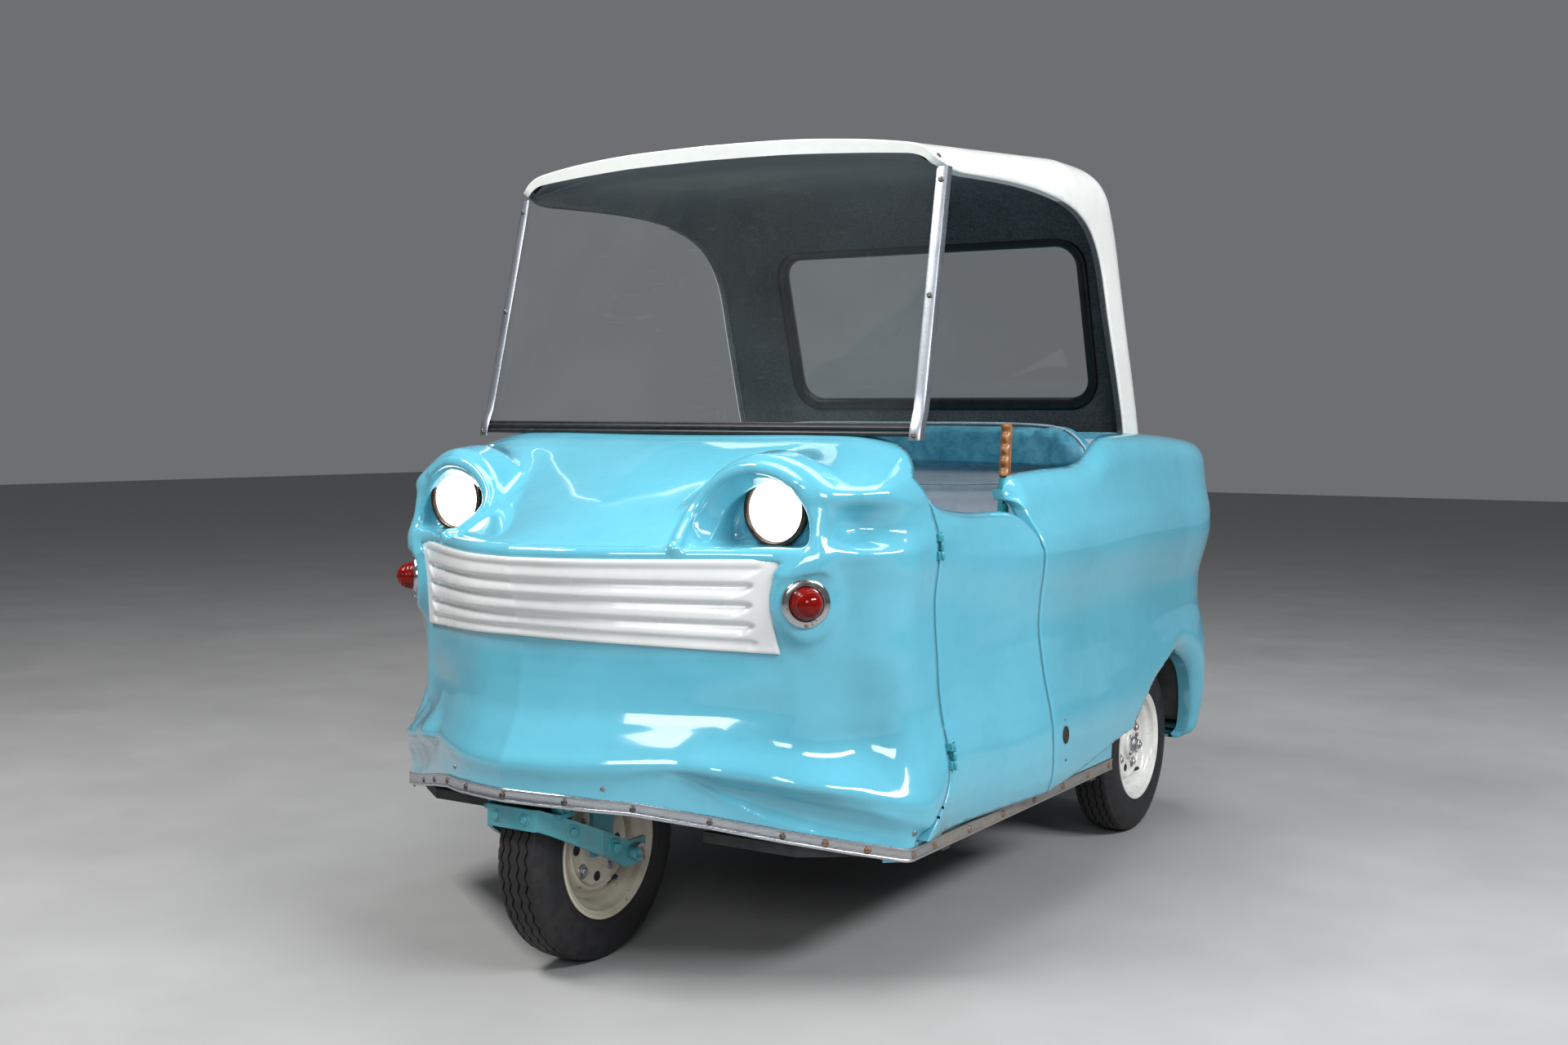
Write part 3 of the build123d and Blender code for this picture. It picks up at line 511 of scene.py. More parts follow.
_zz = TAB_Z[None, :]
_ss = TAB_S[:, None]
_zk = np.interp(_ss, SK_S, SK_Z)
_ze = np.interp(_ss, SK_S, ED_Z)
_on = np.interp(_ss, SK_S, SK_ON)
_te = np.array([np.interp(_ze[i, 0], TAB_Z, TAB_T[i]) for i in range(len(TAB_S))])[:, None]
_u = np.clip((_zz - _zk) / (_ze - _zk), 0, 1)
_low = skirt_t(_ss) + (_te - skirt_t(_ss)) * (.25 * _u + .75 * _u ** 2.4)
NOSE_T = np.where(_zz < _ze, TAB_T * (1 - _on) + _low * _on, TAB_T)
_k = np.exp(-.5 * (np.arange(-6, 7) / 2.4) ** 2)
_k /= _k.sum()
_pad = np.pad(NOSE_T, ((0, 0), (6, 6)), mode="edge")
_bl = sum(_k[i] * _pad[:, i:i + NOSE_T.shape[1]] for i in range(13))
_w = np.exp(-((_zz - _ze) / .02) ** 2) * _on * .8
NOSE_T = NOSE_T * (1 - _w) + _bl * _w
# hollow between the skirt's edge and the bulge
_zc = np.interp(_ss, [.23, .26, .30, .34, .40, .45, .515, .585, .65], [.376, .374, .370, .362, .350, .344, .335, .322, .306])
_zl = np.interp(_ss, [.23, .275, .306, .325, .37, .45, .52, .59, .66], [.372, .358, .338, .320, .290, .262, .252, .244, .236])
_hd = np.interp(_ss, [.23, .26, .30, .34, .40, .47, .55, .64, .70], [0, .003, .009, .014, .017, .015, .011, .005, 0])
_hd = np.minimum(_hd, .32 * (_zc - _zl))
_u = (_zz - _zl) / np.maximum(_zc - _zl, .004)
NOSE_T = NOSE_T - _hd * np.interp(_u, [0, .10, .20, .35, .60, .78, .90, .97, 1.06], [0, .38, .70, .94, 1, .78, .36, .12, 0])


def look(tab, s, z):
    u = np.clip(s, 0, S_END) / S_END * (len(TAB_S) - 1)
    v = (np.clip(z, .18, .925) - .18) / (.925 - .18) * (len(TAB_Z) - 1)
    i = np.minimum(u.astype(int), len(TAB_S) - 2)
    j = np.minimum(v.astype(int), len(TAB_Z) - 2)
    a, b = u - i, v - j
    return (tab[i, j] * (1 - a) * (1 - b) + tab[i + 1, j] * a * (1 - b) + tab[i, j + 1] * (1 - a) * b
            + tab[i + 1, j + 1] * a * b)


def nose_wall(s, z):
    return look(NOSE_T, s, z)


def gap_front(z):
    """y of the door's front gap"""
    return np.interp(z, [.18, .246, .262, .276, .288, .30, .315, .335, .36, .45, .60, .70, .76, .81, .845, .95],
                     [-.634, -.624, -.616, -.602, -.585, -.568, -.553, -.541, -.534, -.530, -.530, -.530, -.533,
                      -.545, -.567, -.567])


# outline of the ribbed panel across the nose, in s and z
GR_Z = [.566, .586, .607, .630, .6555, .673, .694, .705, .717]
GR_S = [.385, .382, .379, .3777, .3774, .3804, .3876, .395, .4044]


def grille_end(z):
    return np.interp(z, GR_Z, GR_S)


def grille_low(s):
    return np.interp(np.abs(s), [0, .1, .2, .3, .36, .42], [.585, .581, .574, .566, .562, .559])


# headlamp niches
POD = (.335, .752, .133, .105)     # centre x and z, outer and inner radius
NICHE_Y, SHELF_Z = -.721, .735


def nose_f(p):
    """below 0 inside the nose moulding, near enough a distance"""
    x, y, z = np.abs(p[..., 0]), p[..., 1], p[..., 2]
    s, t = plan(x, y)
    f = t - nose_wall(s, z)
    # bonnet
    ft = (z - top_z(x, y)) * .88
    f = smax(f, ft, .045)
    fw = t - nose_wall(s, z)
    # rolled ledge across the nose
    zl = .722
    ts = wall(s, np.full_like(z, zl)) - .012
    fade = sstep(s_of_y(-.62), s_corner(30), s)
    r = .0145 * fade
    bead = np.hypot(t - ts, z - zl) - r
    f = np.where(fade > 0, smin(f, bead, .012), f)
    # lamp hoods
    xc, zc0, ro, ri = POD
    zc2 = zc0 + .12 * np.maximum(y + .76, -.02)
    rho = np.hypot(x - xc, z - zc2)
    ylip = -.772 - .22 * (.86 - z) + .35 * np.maximum(x - xc, 0)
    hood = smax(rho - ro + .30 * np.maximum(y + .70, 0), ylip - y, .020)
    tube = .047 - np.hypot(x - .50, z - .768)
    hood = smax(hood, tube, .018)
    hood = np.maximum(hood, .70 - z)
    f = smin(f, hood, .030)
    # raised lip round the niche, over the top and down its inner side
    rn = np.hypot(x - xc + .004, z - zc0) + .36 * np.maximum(-.805 - y, 0)
    inn = sstep(-.35, .55, (xc - .004 - x) / np.maximum(rn, 1e-3))
    up = sstep(.716, .738, z) * sstep(.030, -.020, (x - xc) - 1.3 * (z - zc0 - .03))
    rib = smax(np.abs(rn - .1105) - .0105, f - .0100 * up, .007)
    f = smin(f, rib, .0045)
    # carved niche behind the lip; its mouth is a broad slanting band on the inner side
    depth = np.clip(-f, 0, .030)
    draft = .1015 - .10 * np.clip(y + .80, 0, .12) - depth * (.18 + .52 * inn)
    n = smax(rn - draft, SHELF_Z - z, .014)
    n = smax(n, y - NICHE_Y, .020)
    f = smax(f, -n, .011)
    # swellings that carry the turn signals
    n2 = math.sqrt(.5)
    ax = (x - .427) * n2 - (y + .767) * n2
    rad = np.hypot((x - .427) * n2 + (y + .767) * n2, (z - .646) * .82)
    pad = smax(rad - .050, ax + .000, .014)
    f = smin(f, pad, .030)
    # hidden seat of the ribbed panel, set back from the wall
    inside = np.minimum(np.minimum(.7125 - z, z - (grille_low(s) + .004)), grille_end(z) - .004 - s)
    seat = fw + .004
    k = sstep(0, .004, inside)
    f = np.where(inside > 0, f * (1 - k) + np.maximum(f, seat) * k, f)
    return f


def surface_nets(f, h, o):
    """quads of the zero surface of a sampled field, negative inside"""
    sgn = f < 0
    nx, ny, nz = f.shape
    tot = np.zeros((nx - 1, ny - 1, nz - 1), np.uint8)
    for dx in (0, 1):
        for dy in (0, 1):
            for dz in (0, 1):
                tot += sgn[dx:nx - 1 + dx, dy:ny - 1 + dy, dz:nz - 1 + dz]
    act = (tot > 0) & (tot < 8)
    ci = np.argwhere(act)
    idx = -np.ones(act.shape, np.int64)
    idx[act] = np.arange(len(ci))
    acc = np.zeros((len(ci), 3))
    cnt = np.zeros(len(ci))
    for a in range(3):
        for b in (0, 1):
            for c in (0, 1):
                o1 = np.zeros(3, int)
                o1[(a + 1) % 3], o1[(a + 2) % 3] = b, c
                o2 = o1.copy()
                o2[a] = 1
                p1, p2 = ci + o1, ci + o2
                v1, v2 = f[tuple(p1.T)], f[tuple(p2.T)]
                m = (v1 < 0) != (v2 < 0)
                t = np.where(m, v1 / np.where(m, v1 - v2, 1), 0)
                acc += np.where(m[:, None], p1 + t[:, None] * (o2 - o1), 0)
                cnt += m
    V = acc / cnt[:, None] * h + o
    quads = []
    for a in range(3):
        b, c = (a + 1) % 3, (a + 2) % 3
        e = np.zeros(3, int)
        e[a] = 1
        lo = [slice(None)] * 3
        hi = [slice(None)] * 3
        lo[a], hi[a] = slice(0, -1), slice(1, None)
        diff = sgn[tuple(lo)] != sgn[tuple(hi)]
        q = np.argwhere(diff)
        ok = (q[:, b] > 0) & (q[:, c] > 0) & (q[:, b] < f.shape[b] - 1) & (q[:, c] < f.shape[c] - 1)
        q = q[ok]
        eb, ec = np.zeros(3, int), np.zeros(3, int)
        eb[b], ec[c] = 1, 1
        i00, i10 = idx[tuple((q - eb - ec).T)], idx[tuple((q - ec).T)]
        i11, i01 = idx[tuple(q.T)], idx[tuple((q - eb).T)]
        fl = sgn[tuple(q.T)]
        quad = np.stack([i00, i10, i11, i01], 1)
        quad[~fl] = quad[~fl][:, ::-1]
        quads.append(quad)
    return V, np.concatenate(quads)


def gradient(fun, V, e=4e-4):
    g = np.zeros_like(V)
    for a in range(3):
        d = np.zeros(3)
        d[a] = e
        g[:, a] = (fun(V + d) - fun(V - d)) / (2 * e)
    return g


def settle(fun, V, steps=3, cap=.004, lock=None):
    """moves points onto the zero surface along the slope; lock marks (point, axis) that stay"""
    for _ in range(steps):
        g = gradient(fun, V)
        if lock is not None:
            g = np.where(lock, 0, g)
        n2 = np.maximum((g ** 2).sum(1), 1e-3)
        d = -(fun(V) / n2)[:, None] * g
        ln = np.linalg.norm(d, axis=1)[:, None]
        V = V + d * np.minimum(1, cap / np.maximum(ln, 1e-12))
    return V


def compact(V, F):
    used = np.unique(F)
    m = -np.ones(len(V), np.int64)
    m[used] = np.arange(len(used))
    return V[used], m[F]


def fast_mesh(name, V, F, smooth=True):
    me = bpy.data.meshes.new(name)
    me.vertices.add(len(V))
    me.vertices.foreach_set("co", np.asarray(V, np.float32).ravel())
    F = np.asarray(F)
    me.loops.add(F.size)
    me.loops.foreach_set("vertex_index", F.astype(np.int32).ravel())
    me.polygons.add(len(F))
    me.polygons.foreach_set("loop_start", np.arange(0, F.size, F.shape[1], dtype=np.int32))
    me.polygons.foreach_set("loop_total", np.full(len(F), F.shape[1], np.int32))
    me.update(calc_edges=True)
    if smooth:
        me.polygons.foreach_set("use_smooth", np.ones(len(F), bool))
    me.validate()
    return link(bpy.data.objects.new(name, me))


def shell_piece(name, fun, h, lo, hi, keep, snap=None, steps=3):
    """outer skin of fun where keep(points) is above 0; snap(points) -> (axis, value) pairs to pull edges to: not used
    """
    n = np.ceil((np.array(hi) - lo) / h).astype(int) + 1
    ax = [lo[i] + h * np.arange(n[i]) for i in range(3)]
    f = np.empty(n)
    for i in range(n[0]):
        Y, Z = np.meshgrid(ax[1], ax[2], indexing="ij")
        f[i] = fun(np.stack([np.full_like(Y, ax[0][i]), Y, Z], -1))
    V, Q = surface_nets(f, h, np.array(lo))
    V = settle(fun, V, steps)
    k = keep(V)
    Q = Q[(k[Q] > 0).all(1)]
    return compact(V, Q)


def gap_line(z):
    """rear edge of the nose moulding at its sides, from the sill up to the screen"""
    return np.where(z < .845, gap_front(np.minimum(z, .845)),
                    np.interp(z, [.845, .866, .90, .92], [-.567, -.536, -.497, -.490]))


def boundary(F, n):
    e = np.concatenate([F[:, [i, (i + 1) % F.shape[1]]] for i in range(F.shape[1])])
    key = np.sort(e, 1)
    k = key[:, 0] * n + key[:, 1]
    u, inv, cnt = np.unique(k, return_inverse=True, return_counts=True)
    return e[cnt[inv] == 1]


def trim_mesh(V, F, fun, cuts, h, rounds=2):
    """cuts: functions of points, kept above 0; the raw edge is pulled onto the cut and the surface"""
    keep = np.ones(len(V), bool)
    for g in cuts:
        keep &= g(V) > 0
    V, F = compact(V, F[keep[F].all(1)])
    bv = np.unique(boundary(F, len(V)))
    P = V[bv]
    near = [np.abs(g(P)) < h * 2.0 for g in cuts]
    for _ in range(6):
        for g, nr in zip(cuts, near):
            if nr.any():
                Q = P[nr]
                gr = gradient(g, Q, 2e-4)
                n2 = np.maximum((gr ** 2).sum(1), 1e-2)
                st = -(g(Q) / n2)[:, None] * gr
                ln = np.linalg.norm(st, axis=1)[:, None]
                P[nr] = Q + st * np.minimum(1, h * 1.5 / np.maximum(ln, 1e-12))
        P = settle(fun, P, 1, cap=h)
    for g, nr in zip(cuts, near):
        if nr.any():
            Q = P[nr]
            gr = gradient(g, Q, 2e-4)
            n2 = np.maximum((gr ** 2).sum(1), 1e-2)
            P[nr] = Q - np.clip(g(Q) / n2, -h, h)[:, None] * gr
    V[bv] = P
    return V, F


def sample_field(fun, h, lo, hi, half=True):
    n = np.ceil((np.array(hi) - np.array(lo)) / h).astype(int) + 1
    ax = [lo[i] + h * np.arange(n[i]) for i in range(3)]
    f = np.empty(n, np.float32)
    mid = (n[0] - 1) // 2
    for i in range(n[0]):
        if half and i > mid and abs(ax[0][i] + ax[0][n[0] - 1 - i]) < 1e-9:
            f[i] = f[n[0] - 1 - i]
            continue
        Y, Z = np.meshgrid(ax[1], ax[2], indexing="ij")
        f[i] = fun(np.stack([np.full_like(Y, ax[0][i]), Y, Z], -1))
    return f


def implicit_mesh(fun, h, lo, hi, cuts, steps=3):
    lo = np.array(lo, float)
    f = sample_field(fun, h, lo, hi)
    V, Q = surface_nets(f.astype(float), h, lo)
    V = settle(fun, V, steps)
    return trim_mesh(V, Q, fun, cuts, h)


def edge_flange(obj, pick, move, steps=((1.0),), mat=None):
    """carries the open edges whose ends pick() accepts along move(co) in steps"""
    bm = bmesh.new()
    bm.from_mesh(obj.data)
    edges = [e for e in bm.edges if len(e.link_faces) == 1 and pick(e.verts[0].co) and pick(e.verts[1].co)]
    base = {}
    for k, w in enumerate(steps):
        r = bmesh.ops.extrude_edge_only(bm, edges=edges)
        nv = [g for g in r["geom"] if isinstance(g, bmesh.types.BMVert)]
        edges = [g for g in r["geom"] if isinstance(g, bmesh.types.BMEdge)]
        for v in nv:
            v.co += Vector(move(v.co, k))
        for g in r["geom"]:
            if isinstance(g, bmesh.types.BMFace):
                g.smooth = True
    bmesh.ops.recalc_face_normals(bm, faces=bm.faces)
    bm.to_mesh(obj.data)
    bm.free()


NOSE_H = .0046


def flange_in(obj, pick, inward, depth, roll=.002):
    """turned-in edge: a small roll and then a straight flange along inward(co)"""
    def mv(co, k):
        d = Vector(inward(co)).normalized()
        return d * (roll if k == 0 else depth)
    edge_flange(obj, pick, mv, steps=(0, 1))


def build_nose():
    cuts = [
        lambda p: (gap_line(p[:, 2]) - .0025) - p[:, 1],
        lambda p: p[:, 2] - (skirt_z(p[:, 0]) + .003),
    ]
    nx = 136
    V, F = implicit_mesh(nose_f, NOSE_H, (-nx * NOSE_H, -1.035, .196), (nx * NOSE_H, -.478, .945), cuts)
    o = fast_mesh("nose_shell", V, F)
    # turned-in edges along the door gap and under the skirt
    def at_gap(co):
        return abs(co.y - (float(gap_line(np.array(co.z))) - .0025)) < .0012 and co.z < .90 and abs(co.x) > .45
    def at_low(co):
        return abs(co.z - (float(skirt_z(np.array(co.x))) + .003)) < .0012
    flange_in(o, at_gap, lambda co: (-1 if co.x > 0 else 1, -.10, 0), .022)
    flange_in(o, lambda co: at_low(co) and not at_gap(co),
              lambda co: (-co.x * .3, .8, .35), .012)
    return o


# ----------------------------------------------------------------------------
# flat outlines kept as distance tables
# ----------------------------------------------------------------------------
class Outline:
    """signed distance to a closed outline, below 0 inside"""

    def __init__(self, pts, h=.004, pad=.12):
        P = np.array(pts, float)
        self.h = h
        self.lo = P.min(0) - pad
        n = np.ceil((P.max(0) + pad - self.lo) / h).astype(int) + 1
        A, B = np.meshgrid(self.lo[0] + h * np.arange(n[0]), self.lo[1] + h * np.arange(n[1]), indexing="ij")
        d = np.full(A.shape, 1e9)
        ins = np.zeros(A.shape, bool)
        for (x0, y0), (x1, y1) in zip(P, np.roll(P, -1, 0)):
            ex, ey = x1 - x0, y1 - y0
            L = ex * ex + ey * ey
            if L < 1e-14:
                continue
            t = np.clip(((A - x0) * ex + (B - y0) * ey) / L, 0, 1)
            d = np.minimum(d, np.hypot(A - x0 - t * ex, B - y0 - t * ey))
            if y0 != y1:
                c = ((y0 > B) != (y1 > B)) & (A < ex * (B - y0) / (y1 - y0) + x0)
                ins ^= c
        self.tab = np.where(ins, -d, d)
        self.n = n

    def __call__(self, a, b):
        u = np.clip((a - self.lo[0]) / self.h, 0, self.n[0] - 1.001)
        v = np.clip((b - self.lo[1]) / self.h, 0, self.n[1] - 1.001)
        i, j = u.astype(int), v.astype(int)
        fu, fv = u - i, v - j
        T = self.tab
        return (T[i, j] * (1 - fu) * (1 - fv) + T[i + 1, j] * fu * (1 - fv) + T[i, j + 1] * (1 - fu) * fv
                + T[i + 1, j + 1] * fu * fv)


def smooth_line(pts, n=12, closed=False):
    """dense points of a centripetal curve through pts"""
    P = np.array(pts, float)
    if closed:
        P = np.concatenate([P[-1:], P, P[:2]])
    else:
        P = np.concatenate([2 * P[:1] - P[1:2], P, 2 * P[-1:] - P[-2:-1]])
    out = []
    for i in range(1, len(P) - 2):
        p0, p1, p2, p3 = P[i - 1:i + 3]
        d0, d1, d2 = [max(np.linalg.norm(q - p) ** .5, 1e-6) for p, q in ((p0, p1), (p1, p2), (p2, p3))]
        m1 = (p2 - p1) + d1 * ((p1 - p0) / d0 - (p2 - p0) / (d0 + d1))
        m2 = (p2 - p1) + d1 * ((p3 - p2) / d2 - (p3 - p1) / (d1 + d2))
        for k in range(n):
            t = k / n
            out.append((2 * t ** 3 - 3 * t * t + 1) * p1 + (t ** 3 - 2 * t * t + t) * m1
                       + (-2 * t ** 3 + 3 * t * t) * p2 + (t ** 3 - t * t) * m2)
    if not closed:
        out.append(P[-2])
    return np.array(out)


def plan_back(x, y):
    """(s, t) of plan points behind the front corner"""
    x = np.abs(x)
    dx, dy = x - XR, y - YB
    th = np.arctan2(np.maximum(dy, 0), np.maximum(dx, 1e-9))
    rear = (dx <= 0) & (dy > -.25)
    side = ~rear & (dy <= 0)
    s = np.where(rear, S_CB + np.clip(-dx, 0, .40), np.where(side, S_SIDE + np.minimum(dy, 0),
                                                           S_SIDE + th / (math.pi / 2) * (S_CB - S_SIDE)))
    t = np.where(rear, dy, np.where(side, dx, np.hypot(np.maximum(dx, 0), np.maximum(dy, 0))))
    return s, t


# ----------------------------------------------------------------------------
# rear tub
# ----------------------------------------------------------------------------
TUB_TOP = [(-.20, .826), (-.17, .834), (-.10, .846), (0, .853), (.10, .858), (.155, .866), (.205, .890), (.25, .910),
           (.30, .919), (.40, .920), (.60, .916), (.86, .902), (1.02, .894)]
ARCH_LINE = [(.256, .150), (.256, .232), (.262, .272), (.300, .300), (.360, .334), (.420, .366), (.480, .392),
             (.540, .408), (.600, .416), (.660, .414), (.720, .398), (.775, .362), (.812, .312), (.832, .262),
             (.842, .225), (.846, .150)]
ARCH_OUT = Outline(list(smooth_line(ARCH_LINE, 8)))


def tub_top(y):
    return pchip([q[0] for q in TUB_TOP], [q[1] for q in TUB_TOP], np.clip(y, -.20, 1.02))


def sill_line(y):
    """where the tub's swell ends above the flat sill"""
    return np.interp(y, [-.20, -.16, 0, .12, .25, .30], [.238, .242, .264, .281, .293, .296])


def tub_f(p):
    x, y, z = np.abs(p[..., 0]), p[..., 1], p[..., 2]
    s, t = plan_back(x, y)
    f = t - wall(s, z)
    # flat sill under the swell, ahead of the wheel
    zs = sill_line(y)
    ahead = sstep(.345, .325, y)
    sill = t - (.1625)
    low = sstep(zs + .004, zs - .004, z) * ahead
    f = f * (1 - low) + sill * low
    # wheel opening: the edge behind the wheel is drawn in on a soft roll
    a = ARCH_OUT(y, z)
    soft = sstep(.50, .70, y)
    rr = .006 + .054 * soft
    roll = np.clip(1 - a / rr, 0, 1) * (1 - .10 * soft)
    f = f + (1 - np.sqrt(np.maximum(1 - roll ** 2, 0))) * rr * .9
    # bottom of the lobe behind the wheel and of the tail
    bot = np.interp(y, [.84, .88, .93, 1.02], [.188, .186, .196, .205])
    behind = sstep(.80, .84, y)
    f = np.where(behind > 0, smax(f, (bot - z) * behind - .3 * (1 - behind), .030), f)
    # rolled top
    f = smax(f, z - tub_top(y), .062)
    # rounded front upper corner, above the door
    up = sstep(.776, .800, z)
    f = np.where(up > 0, f * (1 - up) + smax(f, -.1550 - y, .034) * up, f)
    return f


def build_tub():
    cuts = [
        lambda p: p[:, 1] - (-.1575),
        lambda p: p[:, 2] - np.where(p[:, 1] < .30, .215, .183),
        lambda p: ARCH_OUT(p[:, 1], p[:, 2]),
        lambda p: np.maximum(plan_back(p[:, 0], p[:, 1])[1] - (wall(*[q for q in (plan_back(p[:, 0], p[:, 1])[0],
                                                                                p[:, 2])]) - .034),
                             p[:, 1] - .452),
    ]
    h = .0066
    n = 94
    V, F = implicit_mesh(tub_f, h, (-n * h, -.19, .168), (n * h, 1.04, .95), cuts)
    o = fast_mesh("tub_shell", V, F)
    def at_arch(co):
        return abs(float(ARCH_OUT(np.array(co.y), np.array(co.z)))) < .0028 and abs(co.x) > .4
    flange_in(o, at_arch, lambda co: (-1 if co.x > 0 else 1, 0, 0), .026)
    flange_in(o, lambda co: abs(co.y + .1575) < .0012, lambda co: (-1 if co.x > 0 else 1, .08, 0), .022)
    def at_rim(co):
        return co.z > .80 and co.y < .46 and co.y > -.135
    edge_flange(o, at_rim, lambda co, k: (0 if co.y > .449 else (-.002 if co.x > 0 else .002), 0 if co.y < .449 else -.002,
                                          (-.006, -.016, -.030)[k]), steps=(0, 1, 2))
    def at_hump(co):
        return co.z > .775 and co.y <= -.135 and abs(co.y + .1575) > .0012
    edge_flange(o, at_hump, lambda co, k: ((-.001 if co.x > 0 else .001), (.004, .012)[k], 0), steps=(0, 1))
    return o


# ----------------------------------------------------------------------------
# doors
# ----------------------------------------------------------------------------
DOOR_EDGE = [(-.620, .905), (-.600, .880), (-.567, .841), (-.545, .826), (-.527, .813), (-.490, .797), (-.432, .786),
             (-.332, .778), (-.208, .775), (-.185, .771), (-.170, .758), (-.1635, .735), (-.1600, .70)]


def door_top(y):
    return pchip([q[0] for q in DOOR_EDGE], [q[1] for q in DOOR_EDGE], np.clip(y, -.62, -.16))


def door_f(p):
    x, y, z = np.abs(p[..., 0]), p[..., 1], p[..., 2]
    s, t = plan(x, y)
    f = t - wall(s, z)
    f = smax(f, (z - door_top(y)) * .9, .030)
    return f


def build_door(side):
    def gap(p):
        return p[:, 1] - (gap_front(p[:, 2]) + .0025)
    cuts = [
        gap,
        lambda p: -.1625 - p[:, 1],
        lambda p: p[:, 2] - .2465,
        lambda p: plan(p[:, 0], p[:, 1])[1] - (wall(plan(p[:, 0], p[:, 1])[0], p[:, 2]) - .026),
    ]
    h = .0045
    lo, hi = (.46, -.63, .23), (.625, -.15, .86)
    V, F = implicit_mesh_side(door_f, h, lo, hi, cuts)
    V[:, 0] *= side
    if side < 0:
        F = F[:, ::-1]
    o = fast_mesh(("left" if side > 0 else "right") + "_door_skin", V, F)

    def edge(co):
        p = np.array([[abs(co.x), co.y, co.z]])
        return (abs(gap(p)[0]) < .001 or abs(-.1625 - co.y) < .001 or abs(co.z - .2465) < .001)

    flange_in(o, edge, lambda co: (-side, .03 if co.y < -.4 else -.03, 0), .024)
    return o


def implicit_mesh_side(fun, h, lo, hi, cuts, steps=3):
    lo = np.array(lo, float)
    f = sample_field(fun, h, lo, hi, half=False)
    V, Q = surface_nets(f.astype(float), h, lo)
    V = settle(fun, V, steps)
    return trim_mesh(V, Q, fun, cuts, h)


# ----------------------------------------------------------------------------
# roof
# ----------------------------------------------------------------------------
ROOF_LINE = [(-.60, 1.437), (-.45, 1.466), (-.25, 1.493), (-.045, 1.511), (.10, 1.514), (.21, 1.511), (.33, 1.490),
             (.395, 1.448), (.435, 1.392), (.470, 1.318), (.495, 1.245), (.545, 1.084), (.597, .920), (.610, .88)]
ROOF_OUT = Outline([(-.9, 1.39)] + list(smooth_line(ROOF_LINE, 8)) + [(.61, .70), (-.9, .70)], pad=.1)
OPEN_LINE = [(-.56, 1.408), (-.46, 1.407), (-.405, 1.403), (-.372, 1.390), (-.335, 1.3865), (-.25, 1.390), (-.10, 1.395), (.02, 1.393), (.125, 1.384),
             (.205, 1.368), (.262, 1.343), (.304, 1.306), (.333, 1.262), (.352, 1.214), (.368, 1.165), (.400, 1.075),
             (.428, .995), (.450, .925), (.462, .84)]
OPEN_OUT = Outline([(-.9, 1.408)] + list(smooth_line(OPEN_LINE, 8)) + [(.49, .60), (-.9, .60)], pad=.1)


def crown(x, y):
    """height of the roof's skin over |x|"""
    f = sstep(-.60, .20, y) * 0 + np.clip((y + .45) / .65, -.3, 1)
    zf = pchip([0, .15, .30, .42, .47, .50, .56], [1.4565, 1.454, 1.445, 1.431, 1.420, 1.408, 1.37], x)
    zr = pchip([0, .15, .30, .42, .47, .50, .56], [1.512, 1.509, 1.500, 1.486, 1.474, 1.455, 1.41], x)
    return zf + (zr - zf) * f


def roof_f(p, d=0.0):
    x, y, z = np.abs(p[..., 0]), p[..., 1], p[..., 2]
    a = ROOF_OUT(y, z)
    b = (z - crown(x, y)) * .97
    c = x - (.492 + .010 * sstep(1.30, .92, z))
    f = smax(a, b, .02)
    f = smax(f, c, .075)
    return f + d


def roof_front(x):
    return -.445 + .047 * (x / .52) ** 2


def window_g(p):
    """above 0 outside the rear window's opening"""
    a = np.abs(p[:, 0]) - (.388 - .06)
    b = np.abs(p[:, 2] - 1.1655) - (.1785 - .06)
    d = np.hypot(np.maximum(a, 0), np.maximum(b, 0)) + np.minimum(np.maximum(a, b), 0) - .06
    return np.where(p[:, 1] > .30, d, .5)


def roof_cuts(m):
    return [
        lambda p: p[:, 1] - (roof_front(p[:, 0]) + m),
        lambda p: p[:, 2] - (tub_top(p[:, 1]) - .012),
        lambda p: np.where(np.abs(p[:, 0]) > .425, OPEN_OUT(p[:, 1], p[:, 2]) - m, .3),
        lambda p: window_g(p) - m,
        # front edge: skin ends level over the screen
        lambda p: np.where(p[:, 1] < -.30, p[:, 2] - 1.36, .3),
    ]


